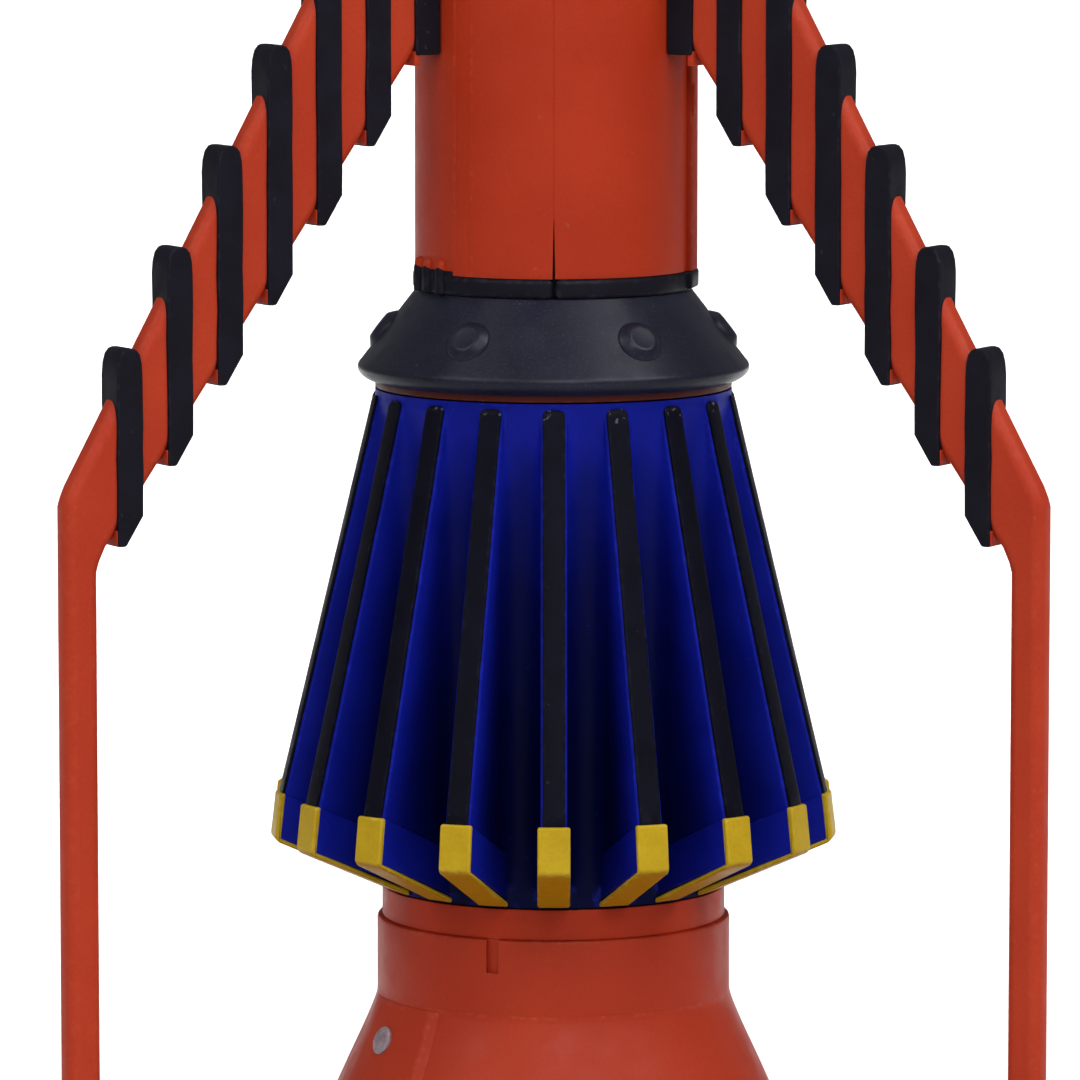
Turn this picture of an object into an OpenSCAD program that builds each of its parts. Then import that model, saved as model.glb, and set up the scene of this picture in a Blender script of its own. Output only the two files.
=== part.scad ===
// Stand-up dust blower in the shape of a rocket.
// The rubber squeeze bulb hangs between three banded legs, a fluted coupling joins it to the
// body tube, and the air leaves through the soft nozzle on top.
// Millimetres. +Z is up, the origin is on the axis at the height of the desk.
// Azimuth 0 is the front (-Y) and grows towards the right hand side (+X).

/* [Legs] */
// Outer radius of the upright leg posts
leg_reach = 41.2; // [39:0.1:46]
// Radial width of a leg post
post_w = 2.7; // [2:0.1:3.5]
// Thickness of the legs across their plane
leg_t = 2.2; // [1.6:0.1:3]
// Height of the elbow above the desk
elbow_z = 96.9; // [90:0.1:100]
// Slope of the upper edge of an arm
arm_top_slope = 60.2; // [56:0.1:62]
// Slope of the lower edge of an arm
arm_low_slope = 54; // [50:0.1:55]

/* [Bands] */
// Number of bands on each arm
band_count = 7; // [3:1:7]
// Radial width of a band
band_w = 2.1; // [1.5:0.1:2.6]
// Radial distance from band to band
band_pitch = 4.12; // [3.6:0.01:4.3]
// How far a band stands out on each side of its arm
band_proud = 0.25; // [0.15:0.05:0.5]

/* [Stand ring] */
// Height of the stand ring
ring_h = 2.6; // [2:0.1:4]
// Height of the rubber pads under the ring
pad_h = 1.2; // [0.8:0.1:2]

/* [Bulb] */
// Largest radius of the squeeze bulb
bulb_r = 25; // [22:0.1:27]
// Height of the widest part of the bulb
bulb_belly_z = 27.5; // [24:0.5:32]
// Wall thickness of the bulb
bulb_wall = 1.8; // [1.2:0.1:2.4]
// Outer radius of the notched collar of the bulb
bulb_collar_r = 13.28; // [12.9:0.01:13.8]

/* [Fluted coupling] */
// Number of ribs on the coupling
rib_count = 18; // [12:1:20]
// Crest radius of the ribs at their top
crest_top_r = 13.5; // [13.2:0.1:14]
// Spread of the crest, radius gained for each millimetre down
crest_spread = 0.2415; // [0.2:0.0005:0.28]
// Thickness of a rib
rib_t = 1.95; // [1.5:0.05:2.2]
// Width of the dark strip on each crest
strip_w = 1.65; // [1.2:0.05:1.9]
// Width of the yellow tips
tip_w = 2.4; // [2:0.1:2.6]
// Radius of the valley floor
valley_r = 12.95; // [12.6:0.05:13.1]

/* [Body tube] */
// Outer radius of the body tube
tube_r = 10.35; // [10:0.05:10.5]
// Wall thickness of the two half shells
shell_wall = 1.2; // [0.8:0.1:1.3]
// Height of the top end of the body tube
tube_top_z = 156; // [153:0.5:160]

/* [Nozzle] */
// Height of the nozzle mouth above the desk
nozzle_top_z = 236; // [225:1:245]
// Radius of the air channel in the nozzle
nozzle_bore_r = 1.1; // [0.8:0.05:1.4]
// Radius of the stem that the nozzle is pushed onto
stem_r = 2.4; // [2.2:0.05:2.8]

/* [Hidden] */
$fn = 96;

body_colour = "#b53a22";
dark_colour = "#1e1e26";
collar_colour = "#2b2d3a";
blue_colour = "#0c1296";
yellow_colour = "#c0a02a";
rubber_colour = "#1a1a1c";

eps = 0.01;
running_gap = 0.05;

// legs
leg_azimuths = [-60, 60, 180];
post_inner_u = leg_reach - post_w;
ring_mid_u = leg_reach - post_w / 2;
ring_top_z = pad_h + ring_h;
elbow_round = 0.7;
crook_round = 1.2;
arm_low_z_at_reach = 88.2;
arm_root_u = tube_r - 1.5;
screw_heights = [134.5, 141];
screw_r = 0.5;
screw_head_r = 1.1;
screw_head_t = 0.7;
screw_end_u = 15;

// bands
band_first_u = leg_reach - 5.1;
band_drop = 0.85;
band_flat = 0.7;
band_chamfer = 2.2;

// bulb, heights from the desk
bulb_collar_top_z = 62.9;
bulb_collar_low_z = 57.3;
bulb_collar_bore_r = 10.7;
bulb_low_z = 4.6;
bulb_hole_r = 6;
shoulder_start = [16.3, 50];
notch_azimuth = -20;
notch_w = 0.95;
notch_h = 2.5;
notch_depth = 0.45;
pad_azimuths = [-84, -39.5];
shoulder_pad_t = 0.35;
rivet_azimuth = -60;
rivet_z = 54.3;
rivet_r = 1;
rivet_shank_r = 0.55;

// intake valve in the base of the bulb
plug_flange_r = 8.2;
plug_low_z = 3.4;
plug_top_z = 9.2;
intake_chamber_r = 4.6;
intake_floor_z = 5.8;
intake_disc_t = 0.7;
intake_hole_r = 1.6;
retainer_z = 8.2;

// neck, coupling and collar
journal_r = 10.8;
journal_top_z = 102.8;
spindle_low_z = 54;
spindle_top_z = 116;
spindle_bore_r = 4;
spindle_neck_r = 9;
neck_sleeve_r = 12.9;
neck_sleeve_top_z = 65.2;
skirt_low_z = 65.33;
skirt_top_z = 102.7;
crest_top_z = 102.3;
tip_top_z = 72.6;
tip_low_z = 69.07;
tip_r = 21.35;
strip_t = 0.25;
tip_t = 0.4;
bush_t = 0.8;
spacer_r = 13.35;
spacer_top_z = 103.7;
collar_top_r = 10.3;
collar_top_z = 110.1;
collar_rim_r = 14.66;
collar_rim_z = 104.45;
stud_count = 6;
stud_r = 1.7;
stud_z = 107.07;
stud_depth = 0.5;
clamp_ring_r = 10.5;
clamp_ring_top_z = 111.6;
seam_gap = 0.3;

// outlet valve in the top of the spindle
chamber_r = 6;
chamber_z = 105;
seat_t = 1.2;
seat_hole_r = 3;
outlet_disc_r = 4.6;
outlet_disc_t = 0.8;
outlet_stem_r = 0.9;
outlet_stem_top_z = 112.5;
guide_z = 110;
guide_t = 1.5;
filter_z = 114.3;

// upper body
tube_low_z = clamp_ring_top_z;
shell_inner_r = tube_r - shell_wall;
crack_top_z = 116.3;
panel_line_azimuth = -45;
panel_line_w = 0.25;
rail_azimuths = [72, 108];
rail_proud = 0.4;
air_tube_r = 3.2;
air_tube_bore_r = 2;
air_tube_top_z = 186;
nose_ring_h = 2.2;
nose_low_z = tube_top_z + nose_ring_h;
nose_top_z = nose_low_z + 33.8;
nose_top_r = 4.8;
nose_wall = 1.2;
nose_spigot_r = 9.1;
nose_roof_z = nose_top_z - 4;
stem_bore_r = 1.2;
stem_top_z = nose_top_z + 15;
stem_nut_r = 4.7;
stem_nut_top_z = nose_top_z + 3.4;
stem_fit = 0.03;
nozzle_base_r = 4.1;
nozzle_mouth_r = 1.75;

// ---------- geometry helpers ----------

function unit(v) = v / norm(v);

// Points of one rounded corner b between a and c, with radius r.
function corner(a, b, c, r, n = 6) =
    r <= 0 ? [[b.x, b.y]] :
    let (
        p = [b.x, b.y],
        u = unit([a.x, a.y] - p),
        v = unit([c.x, c.y] - p),
        half = acos(u * v) / 2,
        centre = p + unit(u + v) * r / sin(half),
        first = p + u * r / tan(half) - centre,
        last = p + v * r / tan(half) - centre,
        start = atan2(first.y, first.x),
        sweep = (atan2(last.y, last.x) - start + 540) % 360 - 180
    )
    [for (i = [0 : n]) centre + r * [cos(start + sweep * i / n), sin(start + sweep * i / n)]];

// Outline from [x, y, corner radius] points.
function rounded(pts) = [
    for (i = [0 : len(pts) - 1])
        each corner(pts[(i + len(pts) - 1) % len(pts)], pts[i], pts[(i + 1) % len(pts)], pts[i][2])
];

// Cubic curve through its four control points, as n + 1 points.
function curve(a, b, c, d, n) = [
    for (i = [0 : n])
        let (t = i / n, s = 1 - t)
        s * s * s * a + 3 * s * s * t * b + 3 * s * t * t * c + t * t * t * d
];

// The line of points moved sideways by dist, to the left of its direction.
function shifted(pts, dist) = [
    for (i = [0 : len(pts) - 1])
        let (
            before = pts[max(0, i - 1)],
            after = pts[min(len(pts) - 1, i + 1)],
            along = unit(after - before)
        )
        pts[i] + dist * [-along.y, along.x]
];

function reversed(pts) = [for (i = [len(pts) - 1 : -1 : 0]) pts[i]];

// Turns the radial +X direction to an azimuth.
module at_azimuth(a) {
    rotate([0, 0, a - 90])
        children();
}

// A flat plate in the radial plane, from [radius, height] points.
module plate(pts, t) {
    rotate([90, 0, 0])
        linear_extrude(t, center = true)
            polygon(pts);
}

module ring(r_out, r_in, z_low, z_top) {
    translate([0, 0, z_low])
        difference() {
            cylinder(r = r_out, h = z_top - z_low);
            translate([0, 0, -1])
                cylinder(r = r_in, h = z_top - z_low + 2);
        }
}

// A solid of revolution over the azimuths from a to b.
module sector(pts, a, b) {
    rotate([0, 0, a - 90])
        rotate_extrude(angle = b - a)
            polygon(pts);
}

// ---------- legs and stand ----------

function arm_top_z(u) = elbow_z + (leg_reach - u) * tan(arm_top_slope);
function arm_low_z(u) = arm_low_z_at_reach + (leg_reach - u) * tan(arm_low_slope);

leg_outline = rounded([
    [leg_reach, ring_top_z, 0],
    [leg_reach, elbow_z, elbow_round],
    [arm_root_u, arm_top_z(arm_root_u), 0],
    [arm_root_u, arm_low_z(arm_root_u), 0],
    [post_inner_u, arm_low_z(post_inner_u), crook_round],
    [post_inner_u, ring_top_z, 0]
]);

// The flat head touches the round inner wall with its rim.
screw_seat_u = sqrt(shell_inner_r ^ 2 - screw_head_r ^ 2) - running_gap;

module screw_shape(z, head) {
    translate([screw_seat_u, 0, z])
        rotate([0, 90, 0])
            cylinder(r = screw_r, h = screw_end_u - screw_seat_u);
    if (head)
        translate([screw_seat_u - screw_head_t, 0, z])
            rotate([0, 90, 0])
                cylinder(r = screw_head_r, h = screw_head_t);
}

module leg(azimuth) {
    color(body_colour)
        difference() {
            at_azimuth(azimuth)
                plate(leg_outline, leg_t);
            cylinder(r = tube_r, h = tube_top_z);
            at_azimuth(azimuth)
                for (z = screw_heights)
                    screw_shape(z, false);
        }
}

// The band next to the tube ends flat, all others follow the slope of the arm.
function band_outline(i) =
    let (
        u_mid = band_first_u - i * band_pitch,
        u_in = u_mid - band_w / 2,
        u_out = u_mid + band_w / 2,
        top = arm_top_z(u_in) + 0.1,
        low = arm_low_z(u_out) - band_drop
    )
    i == 6
    ? rounded([[u_out, low + 0.9, 0.4], [u_out, top, 0.5], [u_in, top, 0], [u_in, low + 0.9, 0]])
    : rounded([
        [u_out, low, 0.25], [u_out, top, 0.6], [u_in, top, 0.5], [u_in, low + band_chamfer, 0.3],
        [u_out - band_flat, low, 0.25]
    ]);

module bands(azimuth) {
    color(dark_colour)
        difference() {
            at_azimuth(azimuth)
                for (i = [0 : band_count - 1])
                    plate(band_outline(i), leg_t + 2 * band_proud);
            at_azimuth(azimuth)
                plate(leg_outline, leg_t);
            cylinder(r = tube_r, h = tube_top_z);
        }
}

module leg_left() { leg(leg_azimuths[0]); }
module leg_right() { leg(leg_azimuths[1]); }
module leg_rear() { leg(leg_azimuths[2]); }
module bands_left() { bands(leg_azimuths[0]); }
module bands_right() { bands(leg_azimuths[1]); }
module bands_rear() { bands(leg_azimuths[2]); }

module leg_screws() {
    color("silver")
        for (a = leg_azimuths)
            at_azimuth(a)
                for (z = screw_heights)
                    screw_shape(z, true);
}

module stand_ring() {
    edge = 0.5;
    color(body_colour)
        rotate_extrude()
            polygon(rounded([
                [post_inner_u, pad_h, edge], [leg_reach, pad_h, edge],
                [leg_reach, ring_top_z, edge], [post_inner_u, ring_top_z, edge]
            ]));
}

module foot_pads() {
    pad_r = 2;
    color(rubber_colour)
        for (a = leg_azimuths)
            at_azimuth(a)
                translate([ring_mid_u, 0, 0])
                    rotate_extrude()
                        polygon(rounded([
                            [0, 0, 0], [pad_r, 0, 0.4], [pad_r * 0.62, pad_h, 0], [0, pad_h, 0]
                        ]));
}

// ---------- squeeze bulb ----------

shoulder_line = [
    [bulb_collar_r, bulb_collar_low_z], [13.65, 56.15], [14.25, 54.75], [15, 53.07],
    each curve(shoulder_start, [19.05, 43.65], [bulb_r, 38], [bulb_r, bulb_belly_z], 14)
];
belly_line = curve(
    [bulb_r, bulb_belly_z], [bulb_r, 15.5], [17.5, bulb_low_z], [plug_flange_r, bulb_low_z], 14
);
bulb_line = concat(
    shoulder_line, [for (i = [1 : len(belly_line) - 1]) belly_line[i]], [[bulb_hole_r, bulb_low_z]]
);
bulb_inner_line = [
    for (p = shifted(bulb_line, -bulb_wall))
        if (p.x > bulb_collar_bore_r + eps || p.y < spindle_low_z)
            p
];

module squeeze_bulb() {
    chamfer = 0.22;
    groove = 0.12;
    color(body_colour)
        difference() {
            rotate_extrude()
                polygon(concat(
                    [
                        [bulb_collar_bore_r, bulb_collar_top_z],
                        [bulb_collar_r - chamfer, bulb_collar_top_z],
                        [bulb_collar_r, bulb_collar_top_z - chamfer],
                        [bulb_collar_r, bulb_collar_low_z + 2 * groove],
                        [bulb_collar_r - groove, bulb_collar_low_z + groove]
                    ],
                    bulb_line,
                    [[bulb_hole_r, bulb_low_z + bulb_wall]],
                    reversed([for (i = [0 : len(bulb_inner_line) - 2]) bulb_inner_line[i]]),
                    [[bulb_collar_bore_r, spindle_low_z + 1]]
                ));
            at_azimuth(notch_azimuth)
                translate([
                    bulb_collar_r - notch_depth, -notch_w / 2, bulb_collar_top_z - notch_h
                ])
                    cube([2, notch_w, notch_h + 1]);
            rivet_place()
                cylinder(r = rivet_shank_r, h = 6, center = true);
        }
}

// Local frame of the rivet: +Z is square to the sloping shoulder of the bulb.
rivet_u = 15 - (rivet_z - 53.07) * (16.3 - 15) / (53.07 - 50);
shoulder_tilt = atan2(16.3 - 15, 53.07 - 50);

module rivet_place() {
    at_azimuth(rivet_azimuth)
        translate([rivet_u, 0, rivet_z])
            rotate([0, 90 - shoulder_tilt, 0])
                children();
}

pad_line = [for (p = shoulder_line) if (p.y < bulb_collar_low_z - 1 && p.y > 42) p];

module shoulder_pad() {
    color(body_colour)
        difference() {
            sector(
                concat(pad_line, reversed(shifted(pad_line, shoulder_pad_t))),
                pad_azimuths[0], pad_azimuths[1]
            );
            rivet_place()
                cylinder(r = rivet_shank_r, h = 6, center = true);
        }
}

module pad_rivet() {
    color("silver")
        rivet_place() {
            translate([0, 0, -bulb_wall])
                cylinder(r = rivet_shank_r, h = bulb_wall + shoulder_pad_t);
            translate([0, 0, shoulder_pad_t])
                cylinder(r = rivet_r, h = 0.3);
        }
}

// ---------- intake valve ----------

module base_plug() {
    color(rubber_colour)
        rotate_extrude()
            polygon([
                [intake_hole_r, plug_low_z], [plug_flange_r - 0.5, plug_low_z],
                [plug_flange_r, plug_low_z + 0.5], [plug_flange_r, bulb_low_z],
                [bulb_hole_r, bulb_low_z], [bulb_hole_r, plug_top_z],
                [intake_chamber_r, plug_top_z], [intake_chamber_r, intake_floor_z],
                [intake_hole_r, intake_floor_z]
            ]);
}

module intake_disc() {
    color("gainsboro")
        translate([0, 0, intake_floor_z])
            cylinder(r = intake_chamber_r - 0.5, h = intake_disc_t);
}

module intake_retainer() {
    color("silver")
        ring(intake_chamber_r, 2.4, retainer_z, plug_top_z);
}

// ---------- neck and outlet valve ----------

module neck_spindle() {
    color("gainsboro")
        rotate_extrude()
            polygon([
                [spindle_bore_r, spindle_low_z], [bulb_collar_bore_r - 0.4, spindle_low_z],
                [bulb_collar_bore_r, spindle_low_z + 0.4], [bulb_collar_bore_r, bulb_collar_top_z],
                [journal_r, bulb_collar_top_z], [journal_r, journal_top_z],
                [spindle_neck_r, journal_top_z], [spindle_neck_r, spindle_top_z],
                [chamber_r, spindle_top_z], [chamber_r, chamber_z], [spindle_bore_r, chamber_z]
            ]);
}

module neck_sleeve() {
    color(body_colour)
        ring(neck_sleeve_r, journal_r, bulb_collar_top_z, neck_sleeve_top_z);
}

module valve_seat() {
    color("gainsboro")
        ring(chamber_r, seat_hole_r, chamber_z, chamber_z + seat_t);
}

module outlet_disc() {
    color("gainsboro") {
        translate([0, 0, chamber_z + seat_t])
            cylinder(r = outlet_disc_r, h = outlet_disc_t);
        translate([0, 0, chamber_z + seat_t])
            cylinder(r = outlet_stem_r, h = outlet_stem_top_z - chamber_z - seat_t);
    }
}

module valve_guide() {
    port_r = 0.9;
    color("gainsboro")
        difference() {
            ring(chamber_r, outlet_stem_r + running_gap, guide_z, guide_z + guide_t);
            for (a = [0 : 60 : 300])
                rotate([0, 0, a])
                    translate([3.6, 0, guide_z - 1])
                        cylinder(r = port_r, h = guide_t + 2);
        }
}

module filter_disc() {
    color("ivory")
        translate([0, 0, filter_z])
            cylinder(r = chamber_r, h = spindle_top_z - filter_z);
}

// ---------- fluted coupling ----------

function crest_r(z) = crest_top_r + (skirt_top_z - z) * crest_spread;

tip_face_r = crest_r(tip_top_z) + 0.2;
underside_slope = (tip_low_z - skirt_low_z) / (tip_r - valley_r);
function underside_z(r) = skirt_low_z + (r - valley_r) * underside_slope;

module skirt_core() {
    rotate_extrude()
        polygon([
            [journal_r + bush_t, skirt_low_z], [valley_r, skirt_low_z], [valley_r, 97],
            [13.15, 100.2], [crest_top_r - 0.15, 101.8], [crest_top_r - 0.15, skirt_top_z],
            [journal_r + bush_t, skirt_top_z]
        ]);
}

// The rib, in blue, behind its strip and its tip.
rib_outline = [
    [journal_r + 1.4, skirt_low_z + 1], [valley_r, underside_z(valley_r) + tip_t],
    [tip_r - tip_t, underside_z(tip_r - tip_t) + tip_t], [tip_face_r - tip_t, tip_top_z],
    [crest_r(tip_top_z) - strip_t, tip_top_z], [crest_r(crest_top_z) - strip_t, crest_top_z],
    [journal_r + 1.4, crest_top_z]
];

// The thicker foot of the rib, in line with its tip.
foot_outline = [
    [journal_r + 1.4, skirt_low_z + 1], [valley_r, underside_z(valley_r) + tip_t],
    [tip_r - tip_t, underside_z(tip_r - tip_t) + tip_t], [tip_face_r - tip_t, tip_top_z],
    [journal_r + 1.4, tip_top_z - (tip_face_r - journal_r - 1.4) * underside_slope]
];

module fluted_skirt() {
    color(blue_colour) {
        skirt_core();
        for (i = [0 : rib_count - 1])
            at_azimuth(i * 360 / rib_count) {
                plate(rib_outline, rib_t);
                plate(foot_outline, tip_w);
            }
    }
}

module rib_strips() {
    strip_low_z = tip_top_z + eps;
    color(dark_colour)
        for (i = [0 : rib_count - 1])
            at_azimuth(i * 360 / rib_count)
                plate([
                    [crest_r(strip_low_z) - strip_t, strip_low_z],
                    [crest_r(strip_low_z), strip_low_z],
                    [crest_r(crest_top_z - 0.5), crest_top_z - 0.5],
                    [crest_r(crest_top_z) - strip_t, crest_top_z]
                ], strip_w);
}

tip_outline = [
    [tip_face_r - tip_t, tip_top_z], [tip_face_r, tip_top_z], [tip_r, tip_low_z + 0.25],
    [tip_r - 0.25, underside_z(tip_r - 0.25)], [valley_r + 0.1, underside_z(valley_r + 0.1)],
    [valley_r + 0.1, underside_z(valley_r + 0.1) + tip_t],
    [tip_r - tip_t, underside_z(tip_r - tip_t) + tip_t]
];

module rib_tips() {
    color(yellow_colour)
        difference() {
            for (i = [0 : rib_count - 1])
                at_azimuth(i * 360 / rib_count)
                    plate(tip_outline, tip_w);
            translate([0, 0, skirt_low_z - 1])
                cylinder(r = valley_r, h = 5);
        }
}

module skirt_bush() {
    color("gainsboro")
        ring(journal_r + bush_t, journal_r + running_gap, skirt_low_z, skirt_top_z);
}

module spacer_ring() {
    color(body_colour)
        ring(spacer_r, spindle_neck_r, journal_top_z, spacer_top_z);
}

// ---------- flared collar ----------

collar_slope = (collar_rim_r - collar_top_r) / (collar_top_z - collar_rim_z);
collar_tilt = atan(collar_slope);

module stud_places() {
    for (i = [0 : stud_count - 1])
        at_azimuth(360 / stud_count * (i + 0.5))
            translate([collar_top_r + (collar_top_z - stud_z) * collar_slope, 0, stud_z])
                rotate([0, 90 - collar_tilt, 0])
                    children();
}

module flared_collar() {
    color(collar_colour)
        difference() {
            rotate_extrude()
                polygon(concat(
                    [[spindle_neck_r, collar_top_z], [collar_top_r, collar_top_z]],
                    corner(
                        [collar_top_r, collar_top_z], [collar_rim_r + 0.12, collar_rim_z - 0.2],
                        [spacer_r, spacer_top_z], 0.4
                    ),
                    [[spacer_r, spacer_top_z], [spindle_neck_r, spacer_top_z]]
                ));
            stud_places()
                translate([0, 0, -stud_depth])
                    cylinder(r = stud_r, h = 2 * stud_depth);
        }
}

module collar_studs() {
    color(collar_colour)
        stud_places()
            rotate_extrude()
                polygon([
                    [0, -stud_depth], [stud_r, -stud_depth], [stud_r, 0.02], [1.55, 0.28],
                    [1.2, 0.42], [0.98, 0.4], [0.8, 0.22], [0, 0.18]
                ]);
}

// ---------- body tube ----------

// The clamp ring is split at the front, with three grip ridges on the left
// and a wider pad under the side rail.
module clamp_ring() {
    color(dark_colour)
        difference() {
            union() {
                ring(clamp_ring_r, spindle_neck_r, collar_top_z, clamp_ring_top_z);
                for (a = [-73, -63, -53])
                    sector([
                        [spindle_neck_r + 1, collar_top_z + 0.1], [clamp_ring_r + 0.3, collar_top_z + 0.1],
                        [clamp_ring_r + 0.3, clamp_ring_top_z], [spindle_neck_r + 1, clamp_ring_top_z]
                    ], a - 3, a + 3);
                sector([
                    [spindle_neck_r + 1, collar_top_z], [tube_r + rail_proud + 0.1, collar_top_z + 0.2],
                    [tube_r + rail_proud + 0.1, clamp_ring_top_z], [spindle_neck_r + 1, clamp_ring_top_z]
                ], rail_azimuths[0] - 1, rail_azimuths[1] + 1);
            }
            translate([-seam_gap / 2, -20, collar_top_z - 1])
                cube([seam_gap, 20, 4]);
        }
}

// One half of the tube, open on the side of -X or +X.
module half_shell(side) {
    color(body_colour)
        difference() {
            ring(tube_r, shell_inner_r, tube_low_z, tube_top_z);
            translate([side > 0 ? -20 : 0, -20, tube_low_z - 1])
                cube([20, 40, tube_top_z]);
            rotate([90, 0, 0])
                linear_extrude(20)
                    polygon([
                        [-seam_gap / 2, tube_low_z - eps], [seam_gap / 2, tube_low_z - eps],
                        [0, crack_top_z]
                    ]);
            if (side < 0)
                at_azimuth(panel_line_azimuth)
                    translate([tube_r - 0.12, -panel_line_w / 2, tube_low_z - 1])
                        cube([1, panel_line_w, tube_top_z]);
            for (a = leg_azimuths)
                at_azimuth(a)
                    for (z = screw_heights)
                        screw_shape(z, false);
        }
}

module shell_left() { half_shell(-1); }
module shell_right() { half_shell(1); }

// Raised strip on the right of the tube, with a small catch on its front edge.
module side_rail() {
    catch_low_z = 122.8;
    catch_h = 3.1;
    catch_w = 0.55;
    color(body_colour) {
        sector([
            [tube_r, tube_low_z], [tube_r + rail_proud, tube_low_z],
            [tube_r + rail_proud, tube_top_z], [tube_r, tube_top_z]
        ], rail_azimuths[0], rail_azimuths[1]);
        at_azimuth(rail_azimuths[0] + 2)
            translate([tube_r + 0.1, -catch_w / 2, catch_low_z])
                cube([rail_proud + 0.15, catch_w, catch_h]);
    }
}

module air_tube() {
    flange_z = spindle_top_z + 1.2;
    color("gainsboro")
        rotate_extrude()
            polygon([
                [air_tube_bore_r, spindle_top_z], [shell_inner_r - 0.2, spindle_top_z],
                [shell_inner_r - 0.2, flange_z], [air_tube_r, flange_z],
                [air_tube_r, air_tube_top_z], [air_tube_bore_r, air_tube_top_z]
            ]);
}

// ---------- nose and nozzle ----------

module nose_ring() {
    edge = 0.35;
    color(dark_colour)
        rotate_extrude()
            polygon([
                [nose_spigot_r, tube_top_z], [clamp_ring_r, tube_top_z],
                [clamp_ring_r + 0.1, tube_top_z + edge], [clamp_ring_r + 0.1, nose_low_z - edge],
                [clamp_ring_r, nose_low_z], [nose_spigot_r, nose_low_z]
            ]);
}

nose_line = curve(
    [tube_r, nose_low_z], [tube_r, nose_low_z + 14], [nose_top_r + 2.2, nose_top_z - 8],
    [nose_top_r, nose_top_z], 12
);

module nose_cone() {
    inner = [for (p = shifted(nose_line, nose_wall)) if (p.y < nose_roof_z && p.y > nose_low_z + 1) p];
    color(body_colour)
        rotate_extrude()
            polygon(concat(
                [
                    [nose_spigot_r - nose_wall, nose_low_z - 5.5], [nose_spigot_r, nose_low_z - 5.5],
                    [nose_spigot_r, nose_low_z]
                ],
                nose_line,
                [[stem_r, nose_top_z], [stem_r, nose_roof_z], [inner[len(inner) - 1].x, nose_roof_z]],
                reversed(inner)
            ));
}

module nozzle_stem() {
    flange_r = 3.4;
    color("silver")
        rotate_extrude()
            polygon([
                [stem_bore_r, nose_roof_z - 7], [air_tube_bore_r, nose_roof_z - 7],
                [air_tube_bore_r, air_tube_top_z], [flange_r, air_tube_top_z],
                [flange_r, nose_roof_z], [stem_r, nose_roof_z], [stem_r, stem_top_z - 0.4],
                [stem_r - 0.4, stem_top_z], [stem_bore_r, stem_top_z]
            ]);
}

module stem_nut() {
    flutes = 16;
    color(dark_colour)
        difference() {
            ring(stem_nut_r, stem_r, nose_top_z, stem_nut_top_z);
            for (i = [0 : flutes - 1])
                rotate([0, 0, i * 360 / flutes])
                    translate([stem_nut_r + 0.15, 0, nose_top_z - 1])
                        cylinder(r = 0.4, h = 6);
        }
}

seal_z = stem_top_z - 4;

// The seal sits in a groove of the nozzle and slides on the stem.
module stem_seal() {
    color(rubber_colour)
        ring(stem_r + 0.6, stem_r + stem_fit, seal_z - 0.5, seal_z + 0.5);
}

// The soft nozzle: a flared root, a long taper and a rounded mouth.
module nozzle_tip() {
    socket_r = stem_r + stem_fit;
    socket_top_z = stem_top_z + 1;
    seal_room = 0.7;
    color(rubber_colour)
        rotate_extrude()
            polygon(concat(
                [
                    [socket_r, stem_nut_top_z], [nozzle_base_r + 0.5, stem_nut_top_z],
                    [nozzle_base_r + 0.5, stem_nut_top_z + 1.6], [nozzle_base_r, stem_nut_top_z + 2.4]
                ],
                curve(
                    [nozzle_base_r, stem_nut_top_z + 10], [nozzle_base_r, stem_nut_top_z + 20],
                    [nozzle_mouth_r + 0.5, nozzle_top_z - 16], [nozzle_mouth_r, nozzle_top_z - 0.6], 8
                ),
                [
                    [nozzle_mouth_r - 0.25, nozzle_top_z], [nozzle_bore_r, nozzle_top_z],
                    [nozzle_bore_r, socket_top_z], [socket_r, socket_top_z],
                    [socket_r, seal_z + seal_room], [socket_r + seal_room, seal_z + seal_room],
                    [socket_r + seal_room, seal_z - seal_room - 0.2], [socket_r, seal_z - seal_room - 0.2]
                ]
            ));
}

foot_pads();
stand_ring();
leg_left();
leg_right();
leg_rear();
bands_left();
bands_right();
bands_rear();
leg_screws();
squeeze_bulb();
shoulder_pad();
pad_rivet();
base_plug();
intake_disc();
intake_retainer();
neck_spindle();
neck_sleeve();
fluted_skirt();
rib_strips();
rib_tips();
skirt_bush();
spacer_ring();
flared_collar();
collar_studs();
clamp_ring();
shell_left();
shell_right();
side_rail();
valve_seat();
outlet_disc();
valve_guide();
filter_disc();
air_tube();
nose_ring();
nose_cone();
nozzle_stem();
stem_nut();
stem_seal();
nozzle_tip();
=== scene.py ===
"""Looks of a stand-up dust blower in the shape of a rocket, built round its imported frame.

Sizes are in millimetres on the classes below and become metres when a mesh is made. The axis of
the blower is Z. Azimuth 0 is the front (-Y) and grows towards the right hand side (+X).
"""

import logging
import math
import random
from collections.abc import Callable
from dataclasses import dataclass, field, replace
from enum import Enum

import bpy
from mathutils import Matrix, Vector, noise


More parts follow.
